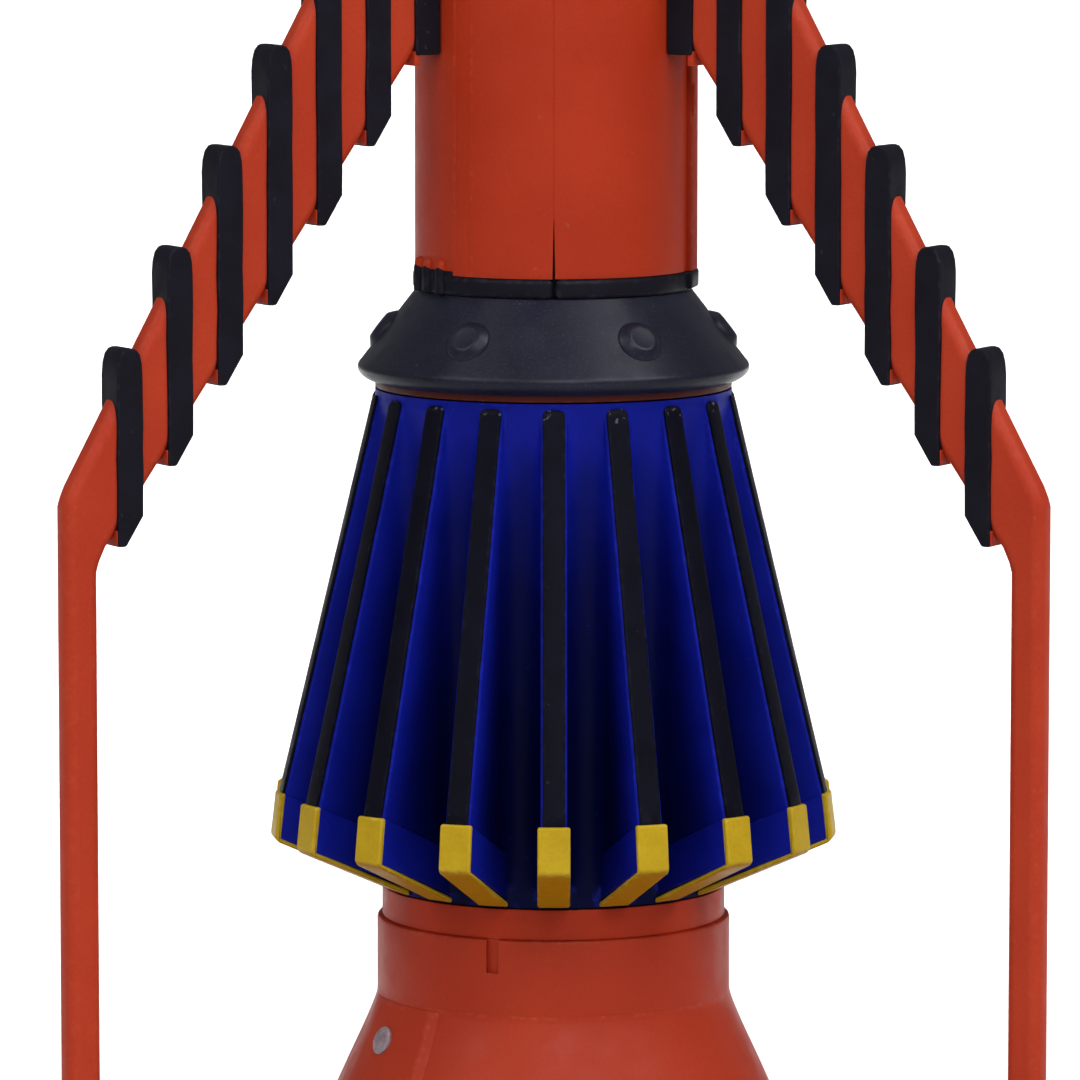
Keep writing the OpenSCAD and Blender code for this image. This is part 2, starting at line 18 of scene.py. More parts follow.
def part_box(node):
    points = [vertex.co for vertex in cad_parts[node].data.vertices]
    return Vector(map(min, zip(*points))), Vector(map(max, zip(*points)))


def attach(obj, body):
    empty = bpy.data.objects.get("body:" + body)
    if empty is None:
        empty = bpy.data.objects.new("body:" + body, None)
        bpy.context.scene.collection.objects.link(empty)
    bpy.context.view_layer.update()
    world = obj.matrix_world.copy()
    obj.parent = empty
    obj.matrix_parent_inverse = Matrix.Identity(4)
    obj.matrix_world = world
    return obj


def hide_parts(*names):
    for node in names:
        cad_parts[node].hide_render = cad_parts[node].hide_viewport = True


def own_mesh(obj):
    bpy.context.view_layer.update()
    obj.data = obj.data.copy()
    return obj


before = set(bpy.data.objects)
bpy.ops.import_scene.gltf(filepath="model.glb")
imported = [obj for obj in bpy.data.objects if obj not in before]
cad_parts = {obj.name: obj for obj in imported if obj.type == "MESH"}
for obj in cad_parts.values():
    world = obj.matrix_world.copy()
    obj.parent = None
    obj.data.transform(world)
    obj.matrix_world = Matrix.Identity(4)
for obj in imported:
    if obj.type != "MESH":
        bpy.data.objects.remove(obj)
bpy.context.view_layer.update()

MM = 0.001
WELD = 1e-6
# Stretches of a noise pattern over which one tone gives way to the next.
CLOUD_EDGE = (0.35, 0.65)
GRAIN_EDGE = (0.4, 0.75)
SPECK_EDGE = (0.84, 0.88)
RAGGED_EDGE = (0.5, 0.68)
FLECK_EDGE = (0.62, 0.78)
CHIP_EDGE = (0.79, 0.83)
# Stretch over which the painted shade under the tips sets in.
UNDERSIDE_SHADE_EDGE = (0.7, 1.2)
LOG = logging.getLogger("blower")

Point = tuple[float, float]
Colour = tuple[float, float, float]
Piece = bpy.types.Object
Socket = bpy.types.NodeSocket


class Slot(Enum):
    """Material slots of the record."""

    BODY = "painted_body"
    BAND = "band_black"
    COLLAR = "collar_navy"
    COUPLING = "coupling_blue"
    TIP = "tip_yellow"
    BULB = "bulb_rubber"
    RUBBER = "black_rubber"
    PLASTIC = "inner_plastic"
    STEEL = "steel"
    FELT = "filter_felt"


class Body(Enum):
    """Moving bodies of the frame."""

    STAND = "stand"
    BULB_BASE = "bulb_base"
    COUPLING = "coupling"
    NOZZLE = "nozzle"


class Mark(Enum):
    """Names of the mesh attributes that the finishes read."""

    # Lighter edges: worn paint and painted edge highlight.
    WEAR = "edge_wear_and_sheen"
    # Share of painted shade in the valleys of the skirt.
    DEPTH = "depth"
    CHIPS = "chips"
    # Share of painted shade on the undersides of the tips, by how far a face looks down.
    UNDER = "under"


# ---------- frame ----------


@dataclass(frozen=True)
class Extent:
    """Heights and outer radius of a CAD node, in millimetres."""

    low: float
    top: float
    radius: float

    @classmethod
    def of(cls, node: str) -> "Extent":
        """Reads the extent of a node from the frame.

        Args:
            node: Name of the CAD node.

        Returns:
            Its lowest and highest point and its reach along +X.
        """
        low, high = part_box(node)
        return cls(low.z / MM, high.z / MM, high.x / MM)


# ---------- small geometry ----------


def curve(a: Point, b: Point, c: Point, d: Point, count: int) -> list[Point]:
    """Cubic curve through its four control points.

    Args:
        a: First end.
        b: First handle.
        c: Second handle.
        d: Second end.
        count: Number of steps.

    Returns:
        The points from a to d, both included.
    """
    points = []
    for i in range(count + 1):
        t = i / count
        s = 1 - t
        weights = (s * s * s, 3 * s * s * t, 3 * s * t * t, t * t * t)
        points.append(tuple(sum(w * p[k] for w, p in zip(weights, (a, b, c, d))) for k in (0, 1)))
    return points


def between(value: float, low: float, high: float) -> float:
    """Share of the way from low to high, from 0 to 1."""
    return min(1.0, max(0.0, (value - low) / (high - low)))


def along(points: list[Point], height: float) -> float:
    """Radius at a height on a line of (height, radius) points, which run upwards."""
    for (z0, r0), (z1, r1) in zip(points, points[1:]):
        if height <= z1:
            return r0 + (r1 - r0) * between(height, z0, z1)
    return points[-1][1]


def azimuth_of(co: Vector) -> float:
    """Azimuth of a point in degrees, from -180 to 180."""
    return math.degrees(math.atan2(co.x, -co.y))


# ---------- modelling, as by hand ----------


def close_edit() -> None:
    """Goes back to object mode."""
    bpy.ops.object.mode_set(mode="OBJECT")


def set_in_place() -> None:
    """Applies the place, turn and scale of the active piece to its mesh."""
    bpy.ops.object.transform_apply(location=True, rotation=True, scale=True)


def clear_selection() -> None:
    """Leaves nothing selected, in object mode."""
    if bpy.context.object and bpy.context.object.mode != "OBJECT":
        close_edit()
    bpy.ops.object.select_all(action="DESELECT")


def work_on(piece: Piece) -> None:
    """Makes a piece the only selected and active object."""
    clear_selection()
    piece.select_set(True)
    bpy.context.view_layer.objects.active = piece


def edit_all(piece: Piece) -> None:
    """Opens a piece in edit mode with all of it selected."""
    work_on(piece)
    bpy.context.tool_settings.mesh_select_mode = (True, False, False)
    bpy.ops.object.mode_set(mode="EDIT")
    bpy.ops.mesh.select_all(action="SELECT")


def pick_points(piece: Piece, test: Callable[[Vector], bool]) -> None:
    """Opens a piece in edit mode with the points that pass a test selected.

    Args:
        piece: The piece.
        test: Says whether a point at this place is selected.
    """
    work_on(piece)
    mesh = piece.data
    for part in (mesh.polygons, mesh.edges):
        part.foreach_set("select", [False] * len(part))
    mesh.vertices.foreach_set("select", [test(v.co) for v in mesh.vertices])
    bpy.context.tool_settings.mesh_select_mode = (True, False, False)
    bpy.ops.object.mode_set(mode="EDIT")


def pick_faces(piece: Piece, test: Callable[[Vector, Vector], bool]) -> None:
    """Opens a piece in edit mode with the faces that pass a test selected.

    Args:
        piece: The piece.
        test: Says whether a face with this centre and normal is selected.
    """
    work_on(piece)
    mesh = piece.data
    for part in (mesh.vertices, mesh.edges):
        part.foreach_set("select", [False] * len(part))
    mesh.polygons.foreach_set("select", [test(f.center, f.normal) for f in mesh.polygons])
    bpy.context.tool_settings.mesh_select_mode = (False, False, True)
    bpy.ops.object.mode_set(mode="EDIT")


def trace(points: list[Point], closed: bool) -> Piece:
    """Draws a line of edges through (radius, height) points in the plane of azimuth 90.

    Args:
        points: The points of the line.
        closed: Whether the last point is joined to the first.

    Returns:
        The new object, in object mode.
    """
    clear_selection()
    bpy.ops.mesh.primitive_plane_add(size=MM)
    piece = bpy.context.object
    edit_all(piece)
    bpy.ops.mesh.merge(type="CENTER")
    bpy.ops.transform.translate(value=(points[0][0] * MM, 0, points[0][1] * MM))
    for (r0, z0), (r1, z1) in zip(points, points[1:]):
        step = ((r1 - r0) * MM, 0, (z1 - z0) * MM)
        bpy.ops.mesh.extrude_vertices_move(TRANSFORM_OT_translate={"value": step})
    close_edit()
    if closed:
        ends = [Vector((r * MM, 0, z * MM)) for r, z in (points[0], points[-1])]
        pick_points(piece, lambda co: any((co - end).length < WELD for end in ends))
        bpy.ops.mesh.edge_face_add()
        close_edit()
    return piece


def tidy_mesh(piece: Piece) -> None:
    """Merges doubled points and turns every face outwards."""
    edit_all(piece)
    bpy.ops.mesh.remove_doubles(threshold=WELD)
    bpy.ops.mesh.normals_make_consistent(inside=False)
    close_edit()


def turned(
    points: list[Point], closed: bool = True, start: float = 0.0, sweep: float = 360.0, steps: int = 128
) -> Piece:
    """Turns a profile round the axis.

    Args:
        points: (radius, height) points of the profile.
        closed: Whether the profile is a closed loop.
        start: Azimuth where the sweep starts.
        sweep: Degrees of the sweep. Below 360 the ends are closed with a face.
        steps: Steps of the sweep.

    Returns:
        The turned piece.
    """
    piece = trace(points, closed)
    edit_all(piece)
    bpy.ops.mesh.spin(steps=steps, angle=-math.radians(sweep), center=(0, 0, 0), axis=(0, 0, 1))
    if sweep < 360:
        bpy.ops.mesh.select_all(action="SELECT")
        bpy.ops.mesh.fill_holes(sides=0)
    close_edit()
    tidy_mesh(piece)
    swing(piece, start)
    return piece


def box_line(inner: float, outer: float, low: float, top: float) -> list[Point]:
    """Profile of a plain ring with a square section."""
    return [(inner, low), (outer, low), (outer, top), (inner, top)]


def swing(piece: Piece, azimuth: float) -> None:
    """Turns a piece made at +X round the axis to an azimuth, and applies the turn."""
    work_on(piece)
    piece.rotation_euler = (0, 0, math.radians(azimuth - 90))
    set_in_place()


def place(piece: Piece, radius: float, height: float, tilt: float) -> None:
    """Moves a piece made on the axis out along +X and tips its top outwards.

    Args:
        piece: The piece, made round the origin.
        radius: Distance from the axis.
        height: Height above the desk.
        tilt: Angle between its own axis and Z, in degrees.
    """
    work_on(piece)
    piece.location = (radius * MM, 0, height * MM)
    piece.rotation_euler = (0, math.radians(tilt), 0)
    set_in_place()


def plate(points: list[Point], thickness: float) -> Piece:
    """Cuts a flat plate to an outline in the plane of azimuth 90.

    Args:
        points: (radius, height) points of the outline.
        thickness: Thickness of the plate, half on each side of the plane.

    Returns:
        The plate.
    """
    piece = trace(points, True)
    edit_all(piece)
    bpy.ops.mesh.edge_face_add()
    bpy.ops.transform.translate(value=(0, -thickness / 2 * MM, 0))
    bpy.ops.mesh.extrude_region_move(TRANSFORM_OT_translate={"value": (0, thickness * MM, 0)})
    close_edit()
    tidy_mesh(piece)
    return piece


def apply_all(piece: Piece) -> None:
    """Applies every modifier of a piece, in order."""
    work_on(piece)
    for modifier in list(piece.modifiers):
        bpy.ops.object.modifier_apply(modifier=modifier.name)


def round_edges(piece: Piece, width: float, segments: int = 3, angle: float = 35.0) -> None:
    """Rounds the sharp edges of a piece.

    Args:
        piece: The piece.
        width: Width of the rounding.
        segments: Faces across the rounding.
        angle: Smallest angle between faces that counts as an edge, in degrees.
    """
    bevel = piece.modifiers.new("rounding", "BEVEL")
    bevel.width = width * MM
    bevel.segments = segments
    bevel.limit_method = "ANGLE"
    bevel.angle_limit = math.radians(angle)
    apply_all(piece)


def smooth(piece: Piece, angle: float = 40.0) -> None:
    """Shades a piece smooth below an angle, with its large faces kept flat."""
    work_on(piece)
    bpy.ops.object.shade_smooth_by_angle(angle=math.radians(angle))
    weighted = piece.modifiers.new("flat faces", "WEIGHTED_NORMAL")
    weighted.keep_sharp = True
    apply_all(piece)


def wall(piece: Piece, thickness: float) -> None:
    """Gives a thin shell a wall, inwards from its surface."""
    solid = piece.modifiers.new("wall", "SOLIDIFY")
    solid.thickness = thickness * MM
    solid.offset = -1
    apply_all(piece)


def copy_of(piece: Piece, turn: float = 0.0) -> Piece:
    """Copies a piece with its own mesh and turns the copy round the axis by some degrees."""
    work_on(piece)
    bpy.ops.object.duplicate(linked=False)
    copy = bpy.context.object
    copy.rotation_euler = (0, 0, math.radians(turn))
    set_in_place()
    return copy


def joined(parts: list[Piece]) -> Piece:
    """Joins pieces into the first one."""
    work_on(parts[0])
    for part in parts:
        part.select_set(True)
    bpy.ops.object.join()
    return bpy.context.object


def ring_of(piece: Piece, count: int) -> Piece:
    """Repeats a piece evenly round the axis and joins the copies."""
    return joined([piece] + [copy_of(piece, i * 360 / count) for i in range(1, count)])


def store(piece: Piece, mark: Mark, values: list[float]) -> None:
    """Writes one number per point of the mesh for the finish to read."""
    layer = piece.data.attributes.new(mark.value, "FLOAT", "POINT")
    layer.data.foreach_set("value", values)


def mark_wear_and_sheen(piece: Piece, least_turn: float = 9.0, most_width: float = 0.3) -> None:
    """Marks the narrow rounded faces along outer edges, where paint wears first and a painted highlight
    lightens the edge.

    Args:
        piece: The piece, with its edges already rounded.
        least_turn: Smallest outward turn to a neighbour, in degrees.
        most_width: Largest width of a face that counts as part of an edge.
    """
    mesh = piece.data
    sides: dict[tuple[int, int], list[int]] = {}
    for face in mesh.polygons:
        for key in face.edge_keys:
            sides.setdefault(key, []).append(face.index)
    turned_out: set[int] = set()
    for faces in sides.values():
        if len(faces) != 2:
            continue
        one, two = (mesh.polygons[i] for i in faces)
        outward = (two.center - one.center).dot(one.normal) < 0
        if outward and math.degrees(one.normal.angle(two.normal, 0)) > least_turn:
            turned_out.update(faces)
    values = [0.0] * len(mesh.loops)
    for index in turned_out:
        face = mesh.polygons[index]
        longest = max((mesh.vertices[a].co - mesh.vertices[b].co).length for a, b in face.edge_keys)
        if longest > 0 and face.area / longest < most_width * MM:
            for loop in face.loop_indices:
                values[loop] = 1.0
    layer = mesh.attributes.new(Mark.WEAR.value, "FLOAT", "CORNER")
    layer.data.foreach_set("value", values)


# ---------- finishes ----------


def srgb(red: int, green: int, blue: int) -> Colour:
    """Linear colour of a screen colour given from 0 to 255."""
    return tuple(
        c / 255 / 12.92 if c <= 10 else ((c / 255 + 0.055) / 1.055) ** 2.4 for c in (red, green, blue)
    )


class Graph:
    """A material that is put together from small steps."""

    def __init__(self, name: str) -> None:
        """Starts a material with its shader and the object's own coordinates."""
        self.material = bpy.data.materials.new(name)
        self.material.use_nodes = True
        self.tree = self.material.node_tree
        self.shader = self.tree.nodes["Principled BSDF"]
        self.coordinates = self.tree.nodes.new("ShaderNodeTexCoord").outputs["Object"]

    def plug(self, source: Socket | float | Colour, target: Socket) -> None:
        """Links a socket to another, or sets a plain value on it."""
        if isinstance(source, Socket):
            self.tree.links.new(source, target)
        elif isinstance(source, tuple):
            target.default_value = (*source, 1.0)
        else:
            target.default_value = source

    def noise(self, size: float, detail: float = 2.0) -> Socket:
        """Noise with features of about a size in millimetres.

        Args:
            size: Size of the features.
            detail: Octaves of finer detail.

        Returns:
            The noise, from 0 to 1.
        """
        texture = self.tree.nodes.new("ShaderNodeTexNoise")
        self.plug(self.coordinates, texture.inputs["Vector"])
        texture.inputs["Scale"].default_value = 1 / (size * MM)
        texture.inputs["Detail"].default_value = detail
        return texture.outputs[0]

    def spread(
        self, source: Socket, low: float, high: float, start: float = 0.0, end: float = 1.0
    ) -> Socket:
        """Maps a value that runs from low to high onto start to end, and cuts off outside."""
        node = self.tree.nodes.new("ShaderNodeMapRange")
        for name, value in (("From Min", low), ("From Max", high), ("To Min", start), ("To Max", end)):
            node.inputs[name].default_value = value
        self.plug(source, node.inputs["Value"])
        return node.outputs[0]

    def combine(self, how: str, one: Socket, two: Socket | float) -> Socket:
        """Combines two values with a math operation such as MULTIPLY, ADD or MAXIMUM."""
        node = self.tree.nodes.new("ShaderNodeMath")
        node.operation = how
        self.plug(one, node.inputs[0])
        self.plug(two, node.inputs[1])
        return node.outputs[0]

    def blend(
        self, share: Socket | float, one: Socket | Colour,
        two: Socket | Colour,
    ) -> Socket:
        """Blends two colours by a share from 0 to 1."""
        node = self.tree.nodes.new("ShaderNodeMix")
        node.data_type = "RGBA"
        self.plug(share, node.inputs[0])
        self.plug(one, node.inputs[6])
        self.plug(two, node.inputs[7])
        return node.outputs[2]

    def mark(self, mark: Mark) -> Socket:
        """Reads a mesh attribute of the piece."""
        node = self.tree.nodes.new("ShaderNodeAttribute")
        node.attribute_name = mark.value
        return node.outputs["Fac"]

    def bump(
        self, height: Socket, depth: float, under: Socket | None = None
    ) -> Socket:
        """Bends the normal by a height map that is depth millimetres deep."""
        node = self.tree.nodes.new("ShaderNodeBump")
        node.inputs["Strength"].default_value = 1.0
        node.inputs["Distance"].default_value = depth * MM
        self.plug(height, node.inputs["Height"])
        if under is not None:
            self.plug(under, node.inputs["Normal"])
        return node.outputs[0]


@dataclass(frozen=True)
class Finish:
    """A painted or moulded surface with clouding, grain, specks, an uneven gloss and lighter edges of worn
    paint and painted highlight.

    Sizes are in millimetres. tone and deep are the two ends of the clouding.
    """

    name: str
    slot: Slot
    tone: Colour
    deep: Colour
    cloud: float = 6.0
    grain: float = 0.22
    grain_share: float = 0.12
    rough: tuple[float, float] = (0.4, 0.52)
    peel: float = 0.003
    peel_size: float = 0.35
    metallic: float = 0.0
    specular: float = 0.16
    speck: Colour = (0.42, 0.12, 0.07)
    speck_share: float = 0.3
    speck_size: float = 0.42
    worn_sheen: Colour = (0.5, 0.4, 0.35)
    edge_wear_and_sheen: float = 0.35
    wear_size: float = 0.7
    gloss_size: float = 2.2

    def colour(self, graph: Graph) -> Socket:
        """Clouded and grained colour, before specks and the lighter edges of wear and painted highlight."""
        clouds = graph.spread(graph.noise(self.cloud, 3.0), *CLOUD_EDGE)
        base = graph.blend(clouds, self.tone, self.deep)
        grains = graph.spread(graph.noise(self.grain, 1.0), *GRAIN_EDGE, 0.0, self.grain_share)
        return graph.blend(grains, base, tuple(c * 0.4 for c in self.deep))

    def material(self) -> bpy.types.Material:
        """Makes the material, or returns the one already made."""
        if self.name in bpy.data.materials:
            return bpy.data.materials[self.name]
        graph = Graph(self.name)
        colour = self.colour(graph)
        specks = graph.spread(graph.noise(self.speck_size, 0.0), *SPECK_EDGE, 0.0, self.speck_share)
        colour = graph.blend(specks, colour, self.speck)
        # Lighter ragged edges: worn paint and painted edge highlight.
        ragged = graph.spread(graph.noise(self.wear_size, 3.0), *RAGGED_EDGE)
        worn_sheen = graph.combine("MULTIPLY", graph.mark(Mark.WEAR), ragged)
        colour = graph.blend(graph.combine("MULTIPLY", worn_sheen, self.edge_wear_and_sheen), colour, self.worn_sheen)
        graph.plug(colour, graph.shader.inputs["Base Color"])
        gloss = graph.spread(graph.noise(self.gloss_size, 3.0), *CLOUD_EDGE, *self.rough)
        graph.plug(gloss, graph.shader.inputs["Roughness"])
        fine = graph.bump(graph.noise(self.grain, 1.0), self.peel * 0.4)
        peel = graph.bump(graph.noise(self.peel_size, 2.0), self.peel, fine)
        graph.plug(peel, graph.shader.inputs["Normal"])
        graph.shader.inputs["Metallic"].default_value = self.metallic
        graph.shader.inputs["Specular IOR Level"].default_value = self.specular
        return graph.material


@dataclass(frozen=True)
class FleckedFinish(Finish):
    """A finish with fine bright flecks in the paint."""

    fleck: Colour = (0.16, 0.17, 0.25)
    fleck_size: float = 0.12
    fleck_share: float = 0.4

    def colour(self, graph: Graph) -> Socket:
        """Adds the flecks to the plain paint."""
        base = super().colour(graph)
        flecks = graph.spread(graph.noise(self.fleck_size, 0.0), *FLECK_EDGE, 0.0, self.fleck_share)
        return graph.blend(flecks, base, self.fleck)


@dataclass(frozen=True)
class FluteWithPaintedShade(Finish):
    """Blue paint, bright on the ribs, with painted shade that darkens it towards the floor of the valleys."""

    # Colour of the painted shade on the valley floors.
    floor: Colour = (0.0, 0.0008, 0.012)

    def colour(self, graph: Graph) -> Socket:
        """Darkens the plain paint towards the painted valley shade by the share that the mesh holds."""
        base = super().colour(graph)
        return graph.blend(graph.mark(Mark.DEPTH), base, self.floor)


@dataclass(frozen=True)
class CrestFinish(Finish):
    """Dark paint on the rib crests, chipped down to a pale ground near the ends."""

    ground: Colour = (0.16, 0.16, 0.2)
    chip_size: float = 0.6
    chip_share: float = 0.6
    end_reach: float = 0.22

    def colour(self, graph: Graph) -> Socket:
        """Adds the chips to the plain paint."""
        base = super().colour(graph)
        reach = graph.spread(graph.mark(Mark.CHIPS), 0.0, 1.0, 0.0, self.end_reach)
        rough = graph.combine("ADD", graph.noise(self.chip_size, 3.0), reach)
        chips = graph.spread(rough, *CHIP_EDGE, 0.0, self.chip_share)
        return graph.blend(chips, base, self.ground)


@dataclass(frozen=True)
class TipWithUndersideShade(Finish):
    """Yellow paint, browner where the surface looks down: partly thinner paint, partly painted shade on the
    underside.
    """

    underside_shade: Colour = (0.4, 0.185, 0.0)
    underside_shade_size: float = 0.5
    underside_shade_share: float = 0.8

    def colour(self, graph: Graph) -> Socket:
        """Browns the plain paint where the surface looks down, partly as painted shade."""
        base = super().colour(graph)
        ragged = graph.combine("ADD", graph.mark(Mark.UNDER), graph.noise(self.underside_shade_size, 2.0))
        return graph.blend(graph.spread(ragged, *UNDERSIDE_SHADE_EDGE, 0.0, self.underside_shade_share), base, self.underside_shade)


BODY_PAINT = Finish(
    "body_paint", Slot.BODY, srgb(186, 56, 27), srgb(178, 51, 24), cloud=9.0, worn_sheen=srgb(206, 92, 66), edge_wear_and_sheen=0.2
)
LEG_PAINT = replace(BODY_PAINT, name="leg_paint", tone=srgb(192, 63, 35), deep=srgb(185, 57, 31), edge_wear_and_sheen=0.15)
RAIL_PAINT = replace(
    BODY_PAINT,
    name="rail_paint",
    tone=srgb(160, 48, 26),
    deep=srgb(150, 44, 24),
    rough=(0.6, 0.7),
    specular=0.06,
)
BULB_RUBBER = Finish(
    "bulb_rubber_red", Slot.BULB, srgb(182, 56, 28), srgb(174, 51, 25), cloud=11.0, rough=(0.42, 0.54),
    peel=0.004, specular=0.2, worn_sheen=srgb(205, 96, 74), edge_wear_and_sheen=0.25,
)
BAND_PAINT = Finish(
    "band_paint", Slot.BAND, srgb(23, 21, 33), srgb(18, 16, 26), cloud=3.0, rough=(0.45, 0.65),
    specular=0.14, speck=srgb(70, 70, 80), worn_sheen=srgb(52, 52, 66),
)
CREST_PAINT = CrestFinish(
    "crest_paint", Slot.BAND, srgb(15, 15, 30), srgb(12, 12, 24), cloud=2.5, rough=(0.38, 0.55),
    specular=0.07, edge_wear_and_sheen=0.15, speck=srgb(70, 70, 80), worn_sheen=srgb(52, 52, 66),
)
COLLAR_PAINT = FleckedFinish(
    "collar_paint", Slot.COLLAR, srgb(30, 32, 48), srgb(25, 26, 41), cloud=4.0, rough=(0.32, 0.44),
    peel=0.005, peel_size=0.2, specular=0.25, fleck=srgb(58, 60, 82), edge_wear_and_sheen=0.05, speck=srgb(90, 92, 110),
    worn_sheen=srgb(64, 66, 84),
)
# Blue skirt paint, with painted shade darkening the valleys.
FLUTE_PAINT_AND_SHADE = FluteWithPaintedShade(
    "flute_paint_and_shade", Slot.COUPLING, srgb(18, 30, 154), srgb(14, 25, 138), cloud=5.0, rough=(0.38, 0.52),
    specular=0.08, speck=srgb(40, 50, 160), worn_sheen=srgb(34, 46, 190),
)
# Yellow tip paint, with painted shade browning the undersides.
TIP_PAINT_AND_SHADE = TipWithUndersideShade(
    "tip_paint_and_shade", Slot.TIP, srgb(202, 168, 32), srgb(192, 157, 26), cloud=2.0, rough=(0.35, 0.5),
    speck=srgb(150, 112, 20), worn_sheen=srgb(222, 192, 84),
)
BLACK_RUBBER = Finish(
    "black_rubber_matt", Slot.RUBBER, srgb(26, 26, 28), srgb(20, 20, 22), rough=(0.6, 0.8), peel=0.006,
    speck=srgb(70, 70, 74), worn_sheen=srgb(58, 58, 62),
)
INNER_PLASTIC = Finish(
    "natural_plastic", Slot.PLASTIC, srgb(214, 210, 200), srgb(200, 196, 186), rough=(0.35, 0.5),
    speck=srgb(150, 146, 138), speck_share=0.3,
)
# A darker copy of the body paint for the spacer ring: painted shadow of the collar above it.
SPACER_PAINTED_SHADOW = replace(BODY_PAINT, name="spacer_painted_shadow", tone=srgb(92, 30, 18), deep=srgb(80, 26, 16))
DARK_PLASTIC = replace(
    INNER_PLASTIC, name="dark_plastic", tone=srgb(34, 34, 38), deep=srgb(28, 28, 32), speck=srgb(60, 60, 66)
)
PLAIN_STEEL = Finish(
    "plain_steel", Slot.STEEL, srgb(186, 166, 172), srgb(158, 140, 148), cloud=0.5, grain_share=0.3,
    rough=(0.5, 0.7), peel=0.012, metallic=0.5, speck=srgb(90, 84, 90), worn_sheen=srgb(190, 184, 190),
)
PRESSED_FELT = Finish(
    "pressed_felt", Slot.FELT, srgb(226, 222, 206), srgb(206, 200, 184), cloud=1.2, grain=0.12,
    rough=(0.85, 0.95), peel=0.05, peel_size=0.25,
)


# ---------- assemblies ----------


class Assembly:
    """A sub-assembly that builds its pieces and hands them to the frame."""

    def adopt(
        self,
        piece: Piece,
        node: str,
        finish: Finish,
        body: Body = Body.STAND,
        name: str = "",
        angle: float = 0.0,
    ) -> Piece:
        """Names and dresses a piece and fixes it to its body.

        Args:
            piece: The finished mesh.
            node: The CAD node that it stands for.
            finish: Its finish.
            body: The body that it rides on.
            name: Name of the piece, when it isn't the node's name with _shaped.
            angle: Shades the piece smooth below this angle first. 0 leaves its shading.

        Returns:
            The same piece.
        """
        if angle:
            smooth(piece, angle)
        name = name or f"{node}_shaped"
        piece.name = piece.data.name = name
        if Mark.WEAR.value not in piece.data.attributes:
            mark_wear_and_sheen(piece)
        piece.data.materials.clear()
        piece.data.materials.append(finish.material())
        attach(piece, body.value)
        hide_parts(node)
        LOG.info("%s: %d faces on %s", name, len(piece.data.polygons), body.value)
        return piece


